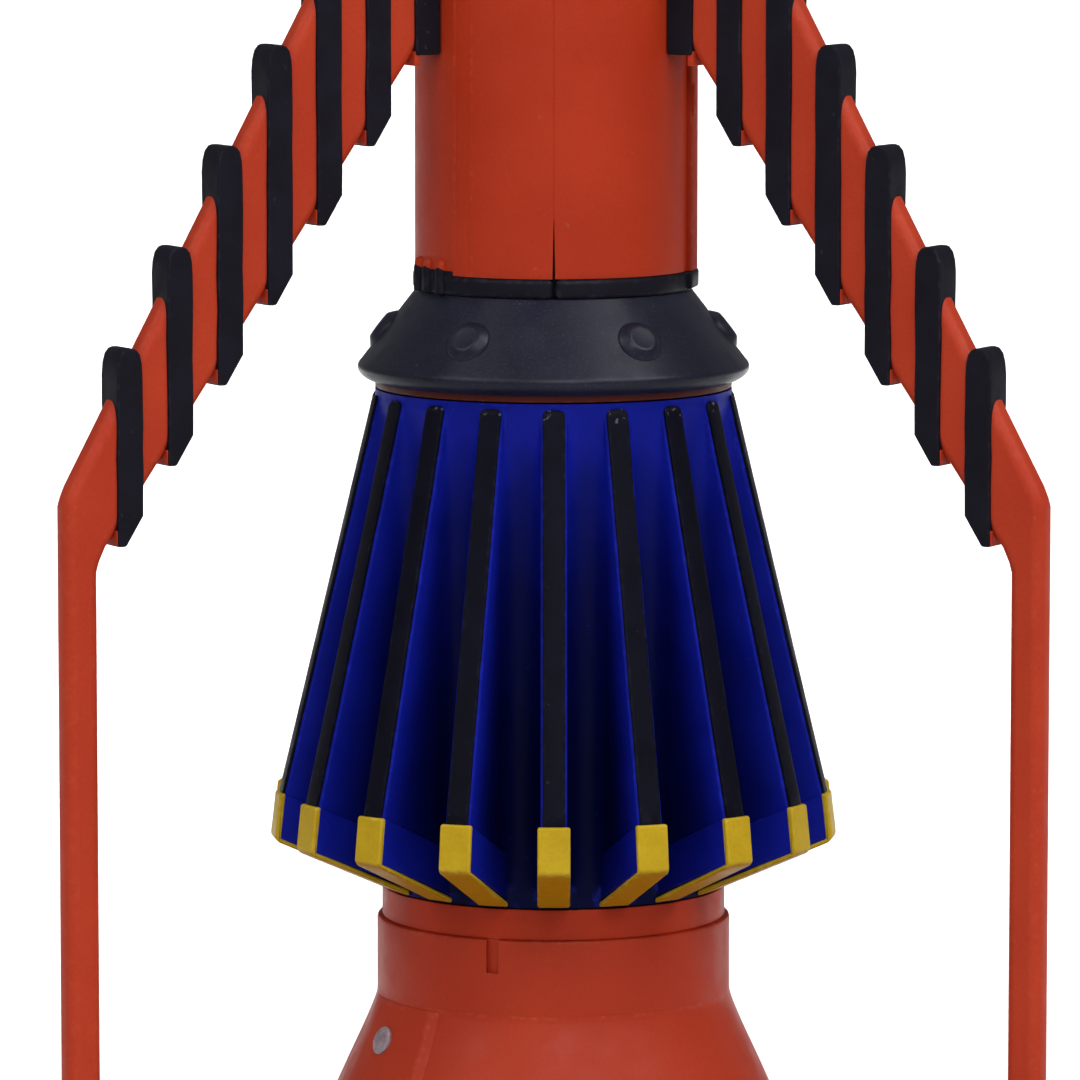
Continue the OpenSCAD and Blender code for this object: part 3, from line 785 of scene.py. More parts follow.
@dataclass
class Legs(Assembly):
    """Three banded legs, the ring that ties them together and its rubber pads."""

    reach: float = 41.2
    post: float = 2.7
    thick: float = 2.2
    elbow_z: float = 96.5
    top_slope: float = 60.2
    low_slope: float = 54.0
    low_z_at_reach: float = 88.2
    band_count: int = 7
    band_w: float = 2.1
    band_pitch: float = 4.12
    band_gap: float = 5.1
    band_drop: float = 0.85
    band_proud: float = 0.25
    edge: float = 0.85
    wobble: float = 0.05
    azimuths: dict[str, float] = field(default_factory=lambda: {"left": -60, "right": 60, "rear": 180})

    def arm_top(self, u: float) -> float:
        """Height of the upper edge of an arm at a distance from the axis."""
        return self.elbow_z + (self.reach - u) * math.tan(math.radians(self.top_slope))

    def arm_low(self, u: float) -> float:
        """Height of the lower edge of an arm at a distance from the axis."""
        return self.low_z_at_reach + (self.reach - u) * math.tan(math.radians(self.low_slope))

    def leg(self) -> Piece:
        """Arm, elbow and post of one leg, at azimuth 90."""
        ring = Extent.of("stand_ring")
        root = Extent.of("shell_right").radius - 0.4
        inner = self.reach - self.post
        crook = self.arm_low(inner)
        leg = plate(
            [
                (self.reach, ring.top - 0.5), (self.reach, self.elbow_z - 0.5),
                (self.reach - 0.2, self.elbow_z + 0.15),
                (self.reach - 0.55, self.arm_top(self.reach - 0.55)), (root, self.arm_top(root)),
                (root, self.arm_low(root)), (inner - 0.7, self.arm_low(inner - 0.7)),
                (inner - 0.2, crook - 0.1), (inner, crook - 0.8), (inner, ring.top - 0.5),
            ],
            self.thick,
        )
        round_edges(leg, self.edge, 5)
        leg = joined([leg, *(self.tab(i) for i in range(self.band_count))])
        smooth(leg)
        return leg

    def tab(self, index: int) -> Piece:
        """Painted tab in the lower outer side of one band, at azimuth 90."""
        outer = self.reach - self.band_gap - index * self.band_pitch + self.band_w / 2
        low, top = self.arm_low(outer) - self.band_drop + 0.12, self.arm_low(outer) + 0.35
        inside, side = outer - 0.4, outer + 0.07
        tab = plate(box_line(inside, side, low, top), self.thick + 2 * self.band_proud - 0.3)
        round_edges(tab, 0.05, 2)
        return tab

    def band(self, index: int, chance: random.Random) -> Piece:
        """One band at azimuth 90, counted from the elbow, with slightly wavy sides."""
        middle = self.reach - self.band_gap - index * self.band_pitch
        inner, outer = middle - self.band_w / 2, middle + self.band_w / 2
        top = self.arm_top(inner) + 0.1
        low = self.arm_low(outer) - self.band_drop
        last = index == self.band_count - 1
        foot_in = low + (0.9 if last else 2.2)
        foot_out = low + (0.9 if last else 0.0)
        rise = (0.2, 0.36, 0.52, 0.68, 0.84)
        shoulder = top - 2.0

        def wavy(side: float, start: float, end: float) -> list[Point]:
            """Points of one side, each a little off the straight line."""
            return [(side + chance.uniform(-1, 1) * self.wobble, start + (end - start) * t) for t in rise]

        wavy_out, wavy_in = wavy(outer, foot_out, shoulder), wavy(inner, shoulder, foot_in)
        corners = [
            (outer, foot_out), *wavy_out, (outer, top - 2.0), (outer - 0.08, top - 1.1),
            (outer - 0.26, top - 0.45), (outer - 0.55, top - 0.1), (outer - 0.85, top), (inner + 0.85, top),
            (inner + 0.5, top - 0.1), (inner + 0.22, top - 0.45), (inner + 0.06, top - 1.1),
            (inner, top - 2.0), *wavy_in, (inner, foot_in),
        ]
        if not last:
            corners.append((outer - 0.7, low))
        band = plate(corners, self.thick + 2 * self.band_proud)
        round_edges(band, 0.16, 2)
        return band

    def build(self) -> None:
        """Builds the legs, their bands, the ring and the pads."""
        leg = self.leg()
        chance = random.Random(7)
        bands = joined([self.band(i, chance) for i in range(self.band_count)])
        smooth(bands)
        for side, azimuth in self.azimuths.items():
            for pattern, name, finish in ((leg, "leg", LEG_PAINT), (bands, "bands", BAND_PAINT)):
                piece = copy_of(pattern, azimuth - 90)
                self.adopt(piece, f"{name}_{side}", finish)
        for pattern in (leg, bands):
            bpy.data.objects.remove(pattern)
        self.build_ring()

    def build_ring(self) -> None:
        """Builds the stand ring with a grip groove, and its three pads."""
        ring = Extent.of("stand_ring")
        inner = self.reach - self.post
        middle = (ring.low + ring.top) / 2
        hoop = turned(
            [
                (inner, ring.low), (ring.radius, ring.low), (ring.radius, middle - 0.25),
                (ring.radius - 0.15, middle), (ring.radius, middle + 0.25), (ring.radius, ring.top),
                (inner, ring.top),
            ],
            steps=160,
        )
        round_edges(hoop, 0.4, 3, 50)
        self.adopt(hoop, "stand_ring", BODY_PAINT, angle=40)
        top = ring.low + 0.1
        pad = turned(
            [(0, 0), (1.3, 0), (1.55, 0.12), (1.64, 0.4), (1.55, 0.8), (1.3, top), (0, top)],
            closed=False, steps=40,
        )
        place(pad, self.reach - self.post / 2, 0, 0)
        swing(pad, self.azimuths["rear"])
        pads = ring_of(pad, 3)
        self.adopt(pads, "foot_pads", BLACK_RUBBER, angle=40)


@dataclass
class Bulb(Assembly):
    """Squeeze bulb with its notched collar, shoulder pad, rivet and base plug."""

    collar_r: float = 13.28
    crease_z: float = 57.3
    collar_top: float = 62.9
    bore: float = 10.75
    knee: Point = (16.3, 50)
    belly: float = 25.0
    belly_z: float = 27.5
    low_z: float = 4.6
    hole: float = 6.0
    wall: float = 1.8
    notch: tuple[float, float, float, float] = (-20.0, 0.95, 2.5, 0.45)
    pad_span: tuple[float, float] = (-84.0, -39.5)
    pad_low: float = 42.0
    pad_proud: float = 0.35
    pad_ramp: float = 2.6
    rivet_azimuth: float = -60.0
    rivet_z: float = 54.3
    press: float = 14.0

    def shoulder(self) -> list[Point]:
        """Outer line from the crease down to the belly."""
        crease = (self.collar_r + 0.02, self.crease_z - 0.3)
        flare = curve(crease, (13.62, 55.6), (15.25, 52.45), self.knee, 14)
        fall = curve(self.knee, (19.05, 43.65), (self.belly, 38), (self.belly, self.belly_z), 26)
        return flare + fall[1:]

    def squash(self, piece: Piece) -> None:
        """Gives a piece its own mesh."""
        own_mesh(piece)

    def build(self) -> None:
        """Builds all pieces of the bulb."""
        self.build_body()
        self.build_collar()
        self.build_pad()
        self.build_plug()

    def build_body(self) -> None:
        """Builds the bellied rubber body."""
        belly, base = (self.belly, self.belly_z), (8.2, self.low_z)
        under = curve(belly, (self.belly, 15.5), (17.5, self.low_z), base, 26)
        lip = [(self.collar_r - 0.2, self.crease_z), (self.collar_r + 0.01, self.crease_z - 0.005)]
        body = turned([*lip, *self.shoulder(), *under[1:], (self.hole, self.low_z)], closed=False, steps=144)
        wall(body, self.wall)
        self.adopt(body, "squeeze_bulb", BULB_RUBBER, name="bulb_body", angle=50)
        self.squash(body)

    def build_collar(self) -> None:
        """Builds the collar of the bulb and cuts its notch."""
        azimuth, width, height, depth = self.notch
        collar = turned(
            [
                (self.bore, self.collar_top), (self.collar_r - 0.24, self.collar_top),
                (self.collar_r - 0.07, self.collar_top - 0.07), (self.collar_r, self.collar_top - 0.26),
                (self.collar_r, self.crease_z + 0.001), (self.bore, self.crease_z + 0.001),
            ],
            steps=144,
        )
        clear_selection()
        bpy.ops.mesh.primitive_cube_add(size=1)
        cutter = bpy.context.object
        cutter.scale = (2 * MM, width * MM, (height + 1) * MM)
        cutter.location = ((self.collar_r - depth + 1) * MM, 0, (self.collar_top - height / 2 + 0.5) * MM)
        set_in_place()
        swing(cutter, azimuth)
        cut = collar.modifiers.new("notch", "BOOLEAN")
        cut.object = cutter
        cut.operation = "DIFFERENCE"
        apply_all(collar)
        bpy.data.objects.remove(cutter)
        self.adopt(collar, "squeeze_bulb", BULB_RUBBER, name="bulb_collar", angle=30)

    def build_pad(self) -> None:
        """Builds the raised shoulder pad and the rivet in it."""
        start, end = self.pad_span
        line = [p for p in self.shoulder() if self.pad_low - 0.5 < p[1]]
        inner = [(r - 0.5, z - 0.25) for r, z in reversed(line)]
        pad = turned(line + inner, start=start, sweep=end - start, steps=60)
        for vertex in pad.data.vertices:
            co = vertex.co
            radius, height = co.xy.length / MM, co.z / MM
            if min(math.hypot(radius - r, height - z) for r, z in line) > 0.1:
                continue
            azimuth = azimuth_of(co)
            ramp = between(azimuth, end, end - self.pad_ramp)
            ramp *= between(azimuth, start, start + 5 * self.pad_ramp)
            lift = 0.01 + self.pad_proud * ramp * between(height, self.crease_z, self.crease_z - 1.2)
            out = co.xy.normalized() * (lift * 0.92 * MM)
            co.x, co.y, co.z = co.x + out.x, co.y + out.y, co.z + lift * 0.38 * MM
        self.adopt(pad, "shoulder_pad", BULB_RUBBER, angle=50)
        self.squash(pad)
        low, high = self.knee, (15.0, 53.07)
        slope = math.degrees(math.atan2(low[0] - high[0], high[1] - low[1]))
        radius = high[0] - (self.rivet_z - high[1]) * (low[0] - high[0]) / (high[1] - low[1])
        rivet = turned(
            [
                (0, -1.4), (0.5, -1.4), (0.5, 0.1), (1.04, 0.1), (1.08, 0.38), (1.0, 0.45), (0.6, 0.49),
                (0, 0.5),
            ],
            closed=False, steps=48,
        )
        place(rivet, radius, self.rivet_z, 90 - slope)
        swing(rivet, self.rivet_azimuth)
        self.adopt(rivet, "pad_rivet", PLAIN_STEEL, angle=40)
        self.squash(rivet)

    def build_plug(self) -> None:
        """Builds the rubber plug with the intake hole in the base of the bulb."""
        plug = Extent.of("base_plug")
        bore, chamber, floor = 1.6, 4.6, 5.8
        piece = turned(
            [
                (bore, plug.low + 0.5), (bore + 0.9, plug.low), (4.4, plug.low), (4.6, plug.low + 0.2),
                (4.9, plug.low + 0.2), (5.1, plug.low), (plug.radius - 0.5, plug.low),
                (plug.radius, plug.low + 0.5), (plug.radius, self.low_z + 0.02),
                (self.hole, self.low_z + 0.02), (self.hole, plug.top), (chamber, plug.top),
                (chamber, floor), (bore, floor),
            ],
            steps=96,
        )
        round_edges(piece, 0.12, 2)
        self.adopt(piece, "base_plug", BLACK_RUBBER, Body.BULB_BASE, angle=40)


@dataclass
class Neck(Assembly):
    """The painted rings below and above the coupling."""

    edge: float = 0.12

    def build(self) -> None:
        """Builds the neck sleeve and the spacer ring."""
        # The spacer ring takes the darker paint that stands for the collar's shadow.
        for node, inner, finish in (("neck_sleeve", 10.8, BODY_PAINT), ("spacer_ring", 9.0, SPACER_PAINTED_SHADOW)):
            size = Extent.of(node)
            ring = turned(box_line(inner, size.radius, size.low, size.top))
            round_edges(ring, self.edge, 2)
            self.adopt(ring, node, finish, angle=40)


@dataclass
class Coupling(Assembly):
    """Fluted coupling with dark strips on its crests and yellow tips."""

    ribs: int = 18
    crest_top_r: float = 13.5
    spread: float = 0.2415
    top_z: float = 102.7
    low_z: float = 65.33
    crest_end_z: float = 102.3
    rib_t: float = 1.95
    valley_r: float = 12.95
    band_r: float = 13.35
    bore: float = 11.62
    strip_w: float = 1.65
    strip_t: float = 0.25
    tip_w: float = 2.4
    tip_t: float = 0.4
    tip_top: float = 72.6
    tip_low: float = 69.07
    tip_r: float = 21.35
    fillet: float = 1.25
    # How the painted valley shade grows with depth below the crests.
    bright_edge: float = 0.75
    fade: float = 1.85
    most_valley_shade: float = 0.93
    corner: float = 0.22

    def crest(self, z: float) -> float:
        """Radius of the strips on the crests at a height."""
        return self.crest_top_r + (self.top_z - z) * self.spread

    def under_z(self, radius: float) -> float:
        """Height of the sloping underside at a radius."""
        slope = (self.tip_low - self.low_z) / (self.tip_r - self.valley_r)
        return self.low_z + (radius - self.valley_r) * slope

    def valley_shade_share(self, z: float, radius: float) -> float:
        """Share of painted shade at a height and radius: none by the crests, most deep in the valleys."""
        sunk = self.crest(max(z, self.tip_top)) - self.strip_t - radius
        return self.most_valley_shade * (1 - math.exp(-max(sunk - self.bright_edge, 0.0) / self.fade))

    def rib_line(self) -> list[Point]:
        """(height, radius) points of the painted crest of a rib, from the bottom up."""
        toe = self.tip_r - self.tip_t
        return [
            (self.low_z, self.valley_r), (self.under_z(self.valley_r) + self.tip_t, self.valley_r),
            (self.under_z(toe) + self.tip_t, toe), (self.tip_top, self.crest(self.tip_top) - self.strip_t),
            (self.crest_end_z, self.band_r), (self.top_z, self.band_r),
        ]

    def valley_line(self) -> list[Point]:
        """(height, radius) points of the valley floor, from the bottom up."""
        return [
            (self.low_z, self.valley_r), (97.0, self.valley_r), (99.0, self.valley_r + 0.08),
            (100.2, self.valley_r + 0.2), (101.8, self.band_r), (self.top_z, self.band_r),
        ]

    def section(self, z: float) -> list[tuple[float, float, float]]:
        """Half a rib seen from above at one height, from the middle of a valley to the crest.

        Args:
            z: Height of the section.

        Returns:
            (radial, sideways, painted shade) for each point, the last one a share of painted valley shade
            from 0 to 1.
        """
        crest, floor = along(self.rib_line(), z), along(self.valley_line(), z)
        half, half_pitch = self.rib_t / 2, math.radians(180 / self.ribs)
        relief = max(crest - floor, 1e-4)
        corner = min(self.corner, relief * 0.3)
        run = (floor * math.sin(half_pitch) - half) / math.cos(half_pitch)
        root = floor * math.cos(half_pitch) + run * math.sin(half_pitch)
        climb = max(min(self.fillet, crest - corner - root), 0.0)
        flat = crest - corner
        lift = min(root, flat)
        bend = [
            (floor * math.cos(half_pitch), floor * math.sin(half_pitch)), (lift, half),
            (min(lift + climb, flat), half),
        ]
        points = []
        for i in range(8):
            t = i / 8
            w = ((1 - t) ** 2, 2 * t * (1 - t), t * t)
            points.append(tuple(sum(w[j] * bend[j][k] for j in range(3)) for k in (0, 1)))
        start = bend[2][0]
        points += [(start + (flat - start) * i / 3, half) for i in range(4)]
        for i in (1, 2, 3):
            turn = math.radians(30 * i)
            points.append((flat + corner * math.sin(turn), half - corner * (1 - math.cos(turn))))
        points.append((crest, 0.0))
        return [(r, t, self.valley_shade_share(z, r)) for r, t in points]

    def levels(self) -> list[float]:
        """Heights of the sections, closest where the shape turns fastest."""
        foot = [self.low_z, self.low_z + self.tip_t, 66.4, 67.2, 68.0, 68.7, 69.29, 70.4, 71.5, self.tip_top]
        body = [74.5, 77.5, 81.0, 85.0, 89.0, 92.5, 95.0, 97.0, 98.2, 99.2, 100.0, 100.7, 101.3, 101.8]
        return foot + body + [102.1, self.crest_end_z, 102.5, self.top_z]

    def flutes(self) -> Piece:
        """The fluted shell: a ring of points drawn upwards level by level and pressed into ribs."""
        heights = self.levels()
        half = [self.section(z) for z in heights]
        per_half = len(half[0]) - 1
        around = self.ribs * 2 * per_half
        clear_selection()
        bpy.ops.mesh.primitive_circle_add(vertices=around, radius=self.valley_r * MM)
        shell = bpy.context.object
        edit_all(shell)
        for _ in range(len(heights) + 1):
            bpy.ops.mesh.extrude_edges_move(TRANSFORM_OT_translate={"value": (0, 0, MM)})
        close_edit()
        top_level = len(heights) + 1
        valley_shades = []
        for vertex in shell.data.vertices:
            level = round(vertex.co.z / MM)
            angle = math.atan2(vertex.co.y, vertex.co.x)
            index = round(angle / (2 * math.pi) * around) % around
            if 1 <= level <= len(heights):
                rib, step = divmod(index, 2 * per_half)
                side = 1 if step <= per_half else -1
                place_in_half = per_half - step if side > 0 else step - per_half
                radial, sideways, depth = half[level - 1][place_in_half]
                centre = 2 * math.pi / self.ribs * (rib + (0 if side > 0 else 1))
                ray = Vector((math.cos(centre), math.sin(centre), 0))
                across = Vector((-ray.y, ray.x, 0)) * side
                vertex.co = (ray * radial + across * sideways) * MM
                vertex.co.z = heights[level - 1] * MM
            else:
                radius = self.bore
                vertex.co = (radius * MM * math.cos(angle), radius * MM * math.sin(angle), 0)
                vertex.co.z = (self.low_z if level == 0 else self.top_z) * MM
                depth = 1.0
            valley_shades.append(depth)
        # Each point keeps its share of painted valley shade; the points of the inner bore are fully shaded.
        store(shell, Mark.DEPTH, valley_shades)
        pick_points(shell, lambda co: co.xy.length < (self.bore + 0.2) * MM)
        bpy.ops.mesh.bridge_edge_loops()
        close_edit()
        swing(shell, 0)
        LOG.info("fluted shell has %d levels", top_level)
        return shell

    def feet(self) -> Piece:
        """The thicker foot of every rib, below a crease in line with the underside."""
        toe, face = self.tip_r - self.tip_t, self.crest(self.tip_top) - self.strip_t + 0.05
        inner = self.bore + 0.6
        crease = self.tip_top - (face - inner) * (self.tip_low - self.low_z) / (self.tip_r - self.valley_r)
        foot = plate(
            [
                (inner, self.under_z(inner) + self.tip_t + 0.2),
                (toe, self.under_z(toe) + self.tip_t * 0.8), (face, self.tip_top - 0.05), (inner, crease),
            ],
            self.tip_w - 0.06,
        )
        round_edges(foot, 0.1, 2)
        swing(foot, 0)
        feet = ring_of(foot, self.ribs)
        points = [v.co / MM for v in feet.data.vertices]
        # The feet take a little less painted valley shade than the shell at the same place.
        store(feet, Mark.DEPTH, [0.8 * self.valley_shade_share(co.z, co.xy.length) for co in points])
        return feet

    def strips(self) -> Piece:
        """Dark strips on the crests, with rounded upper ends and unsteady edges."""
        length = self.crest_end_z - self.tip_top
        clear_selection()
        bpy.ops.mesh.primitive_grid_add(x_subdivisions=8, y_subdivisions=56, size=1)
        strip = bpy.context.object
        for vertex in strip.data.vertices:
            share = vertex.co.y + 0.5
            z = self.tip_top + 0.03 + (length - 0.03) * (1 - (1 - share) ** 1.6)
            end = between(z, self.crest_end_z - 0.5, self.crest_end_z)
            width = self.strip_w * max(1 - end**3, 0.12) ** (1 / 3)
            crown = 0.05 * (2 * vertex.co.x) ** 2 + 0.12 * end**3
            vertex.co = ((self.crest(z) - crown) * MM, vertex.co.x * width * MM, z * MM)
        tidy_mesh(strip)
        if sum(face.normal.x for face in strip.data.polygons) < 0:
            edit_all(strip)
            bpy.ops.mesh.flip_normals()
            close_edit()
        wall(strip, self.strip_t + 0.05)
        round_edges(strip, 0.05, 2, 60)
        swing(strip, 0)
        strips = ring_of(strip, self.ribs)
        chips = []
        for vertex in strips.data.vertices:
            co = vertex.co
            azimuth = azimuth_of(co)
            rib = round(azimuth / (360 / self.ribs)) * 360 / self.ribs
            side = 1 if azimuth > rib else -1
            reach = min(1.0, abs(azimuth - rib) / 3.0)
            waver = noise.noise(Vector((co.z / (1.8 * MM), rib * 0.37, side * 3.1)))
            slip = math.radians(waver * 0.16 * side * reach)
            co.x, co.y = (
                co.x * math.cos(slip) - co.y * math.sin(slip),
                co.x * math.sin(slip) + co.y * math.cos(slip),
            )
            height = co.z / MM
            chips.append(between(height, self.crest_end_z - 1.6, self.crest_end_z))
        store(strips, Mark.CHIPS, chips)
        return strips

    def tips(self) -> Piece:
        """Rounded yellow caps on the lower ends of the ribs."""
        face = self.crest(self.tip_top) + 0.2
        inner = self.valley_r + 0.06
        tip = plate(
            [
                (face - self.tip_t - 0.1, self.tip_top), (face, self.tip_top),
                (self.tip_r, self.tip_low + 0.25), (self.tip_r - 0.25, self.under_z(self.tip_r - 0.25)),
                (inner, self.under_z(inner)), (inner, self.under_z(inner) + self.tip_t),
                (self.tip_r - self.tip_t - 0.1, self.under_z(self.tip_r - self.tip_t - 0.1) + self.tip_t),
            ],
            self.tip_w,
        )
        round_edges(tip, 0.17, 3, 25)
        swing(tip, 0)
        tips = ring_of(tip, self.ribs)
        smooth(tips, 50)
        # Faces that look down get the painted underside shade.
        under = [0.0] * len(tips.data.vertices)
        for face_ in tips.data.polygons:
            for index in face_.vertices:
                under[index] = max(under[index], between(-face_.normal.z, 0.3, 0.8))
        store(tips, Mark.UNDER, under)
        return tips

    def build(self) -> None:
        """Builds the fluted shell, its strips and its tips."""
        feet = self.feet()
        skirt = joined([self.flutes(), feet])
        tidy_mesh(skirt)
        self.adopt(skirt, "fluted_skirt", FLUTE_PAINT_AND_SHADE, Body.COUPLING, angle=50)
        strips = self.strips()
        self.adopt(strips, "rib_strips", CREST_PAINT, Body.COUPLING, name="crest_strips", angle=60)
        self.adopt(self.tips(), "rib_tips", TIP_PAINT_AND_SHADE, Body.COUPLING, name="crest_tips")


@dataclass
class Collar(Assembly):
    """Flared collar with a rolled rim and six flat-topped studs."""

    inner: float = 9.0
    top_r: float = 10.3
    rim_r: float = 14.66
    rim_z: float = 104.45
    seat_r: float = 13.35
    lip: float = 0.42
    stud_count: int = 6
    stud_z: float = 107.07

    def build(self) -> None:
        """Builds the collar and its studs."""
        size = Extent.of("flared_collar")
        cone = turned(
            [
                (self.inner, size.low), (self.seat_r + 0.05, size.low),
                (self.seat_r + 0.05, size.low - self.lip),
                *curve(
                    (self.seat_r + 0.15, size.low - self.lip), (self.rim_r - 0.3, self.rim_z - 0.95),
                    (self.rim_r + 0.42, self.rim_z - 0.25), (self.rim_r - 0.3, self.rim_z + 0.4), 12,
                ),
                (self.top_r, size.top), (self.inner, size.top),
            ],
            steps=160,
        )
        self.adopt(cone, "flared_collar", COLLAR_PAINT, angle=40)
        slope = (self.rim_r - self.top_r) / (size.top - self.rim_z)
        radius = self.top_r + (size.top - self.stud_z) * slope
        stud = turned(
            [
                (0, -0.5), (1.72, -0.5), (1.72, -0.02), (1.66, 0.08), (1.5, 0.22), (1.22, 0.45),
                (1.1, 0.53), (0.96, 0.56), (0.84, 0.55), (0.4, 0.52), (0, 0.51),
            ],
            closed=False, steps=56,
        )
        place(stud, radius, self.stud_z, 90 - math.degrees(math.atan(slope)))
        swing(stud, 180 / self.stud_count)
        studs = ring_of(stud, self.stud_count)
        self.adopt(studs, "collar_studs", COLLAR_PAINT, angle=60)


@dataclass
class Tube(Assembly):
    """Body tube of two half shells, with its clamp ring and side rail."""

    ring_r: float = 10.5
    ring_inner: float = 9.2
    lap_r: tuple[float, float] = (10.2, 10.46)
    pad_inner: float = 9.4
    catch_low: float = 122.9
    catch_top: float = 125.9
    wall: float = 1.2
    gap: float = 0.2
    crack_top: float = 116.3
    line_azimuth: float = -45.0
    line_width: float = 0.25
    line_depth: float = 0.12
    ridges: tuple[float, ...] = (-73.0, -63.0, -53.0)
    ridge_r: float = 0.42
    rail: tuple[float, float] = (72.0, 108.0)
    rail_proud: float = 0.4

    def build(self) -> None:
        """Builds the ring, both shells and the rail."""
        self.build_ring()
        self.build_shells()
        self.build_rail()

    def ridge(self, low: float, top: float, radius: float, out: float) -> Piece:
        """A short upright ridge with a rounded top, at azimuth 90."""
        line = [(0, low), (radius, low), (radius, top - radius)]
        turns = [math.radians(a) for a in (30, 60)]
        cap = [(radius * math.cos(a), top - radius * (1 - math.sin(a))) for a in turns]
        ridge = turned([*line, *cap, (0, top)], closed=False, steps=24)
        place(ridge, out, 0, 0)
        return ridge

    def build_ring(self) -> None:
        """Builds the split clamp ring with its grip ridges and rail pad."""
        size = Extent.of("clamp_ring")
        half_gap = math.degrees(self.gap / 2 / self.ring_r)
        ring = turned(
            box_line(self.ring_inner, self.ring_r, size.low, size.top),
            start=half_gap, sweep=360 - 2 * half_gap, steps=156,
        )
        round_edges(ring, 0.5, 4, 50)
        lap_in, lap_out = self.lap_r
        lap = turned(
            [
                (lap_in, size.top - 0.3), (lap_out, size.top - 0.3),
                (lap_out, size.top + 0.3), (lap_in, size.top + 0.36),
            ],
            start=self.ridges[0] - 12, sweep=self.ridges[-1] - self.ridges[0] + 19, steps=24,
        )
        round_edges(lap, 0.06, 2)
        parts = [ring, lap]
        for azimuth in self.ridges:
            ridge = self.ridge(size.low + 0.12, size.top + 0.75, self.ridge_r, self.ring_r - 0.08)
            swing(ridge, azimuth)
            parts.append(ridge)
        start, end = self.rail[0] - 1, self.rail[1] + 1
        top = size.top - 0.02
        pad = turned(
            [
                (self.pad_inner, size.low + 0.1), (size.radius, size.low + 0.25),
                (size.radius, top), (self.pad_inner, top),
            ],
            start=start, sweep=end - start, steps=24,
        )
        round_edges(pad, 0.15, 2)
        parts.append(pad)
        whole = joined(parts)
        self.adopt(whole, "clamp_ring", BAND_PAINT, angle=45)

    def half_shell(self, right: bool, size: Extent) -> Piece:
        """One half of the tube, with the crack between the halves opened at its lower end.

        Args:
            right: Whether this is the half on the side of +X.
            size: Extent of the CAD half.

        Returns:
            The half shell.
        """
        inner = size.radius - self.wall
        crack = [size.low + (self.crack_top - size.low) * t for t in (0.12, 0.3, 0.5, 0.7, 0.86, 1.0)]
        outer_line = [(size.radius, z) for z in [size.low, *crack, size.top]]
        inner_line = [(inner, z) for z in [size.top, *reversed(crack), size.low]]
        shell = turned(outer_line + inner_line, start=0 if right else 180, sweep=180, steps=72)
        if not right:
            self.cut_line(shell, size.radius, self.line_azimuth, self.line_width, -self.line_depth / 2)
            self.cut_line(shell, size.radius, self.line_azimuth + 7.6, self.line_width, self.line_depth / 4)
        side = 1 if right else -1
        for vertex in shell.data.vertices:
            co = vertex.co
            if co.y < 0 and abs(co.x) < 0.02 * MM:
                open_share = 1 - between(co.z / MM, size.low, self.crack_top)
                ragged = 0.02 * noise.noise(Vector((co.z / (0.7 * MM), side * 5.0, 0)))
                shift = (self.gap / 2 * open_share**0.8 + ragged * open_share) * side
                co.x += shift * MM
        round_edges(shell, 0.055, 2, 50)
        smooth(shell, 45)
        return shell

    def cut_line(
        self, shell: Piece, radius: float, azimuth: float, width: float, depth: float
    ) -> None:
        """Presses a fine upright line into the outside of a half shell, or raises it.

        Args:
            shell: The half shell.
            radius: Outer radius of the shell.
            azimuth: Azimuth of the line.
            width: Width of the line.
            depth: Depth of the line, below zero for a raised line.
        """
        half = math.degrees(width / 2 / radius)
        for edge in (azimuth - half, azimuth + half):
            angle = math.radians(edge)
            pick_faces(shell, lambda centre, normal: abs(azimuth_of(centre) - azimuth) < 8)
            bpy.ops.mesh.bisect(plane_co=(0, 0, 0), plane_no=(math.cos(angle), math.sin(angle), 0))
            close_edit()
        limit = (radius - 0.1) * MM
        pick_faces(
            shell,
            lambda centre, normal: abs(azimuth_of(centre) - azimuth) < half * 0.9
            and centre.xy.length > limit,
        )
        angle = math.radians(azimuth)
        step = (-math.sin(angle) * depth * MM, math.cos(angle) * depth * MM, 0)
        bpy.ops.mesh.extrude_region_move(TRANSFORM_OT_translate={"value": step})
        close_edit()

    def build_shells(self) -> None:
        """Builds both half shells, the left one with the bumps above the grip ridges."""
        size = Extent.of("shell_right")
        left = self.half_shell(False, size)
        bumps = []
        for azimuth in self.ridges:
            bump = self.ridge(size.low + 0.05, size.low + 1.15, self.ridge_r, self.ring_r - 0.14)
            swing(bump, azimuth)
            bumps.append(bump)
        left = joined([left, *bumps])
        self.adopt(left, "shell_left", BODY_PAINT, name="tube_half_left")
        self.adopt(self.half_shell(True, size), "shell_right", BODY_PAINT, name="tube_half_right")

    def build_rail(self) -> None:
        """Builds the raised side rail with its catch."""
        size = Extent.of("shell_right")
        outer = size.radius + self.rail_proud
        start, end = self.rail
        rail = turned(
            box_line(size.radius - 0.2, outer, size.low, size.top),
            start=start, sweep=end - start, steps=24,
        )
        round_edges(rail, 0.14, 2)
        low, top, hook = self.catch_low, self.catch_top, outer + 0.14
        root = self.lap_r[0]
        catch = plate([(root, low), (hook, low + 0.2), (hook, top - 0.4), (root, top)], 0.55)
        round_edges(catch, 0.12, 2)
        swing(catch, start + 2)
        whole = joined([rail, catch])
        self.adopt(whole, "side_rail", RAIL_PAINT, angle=45)


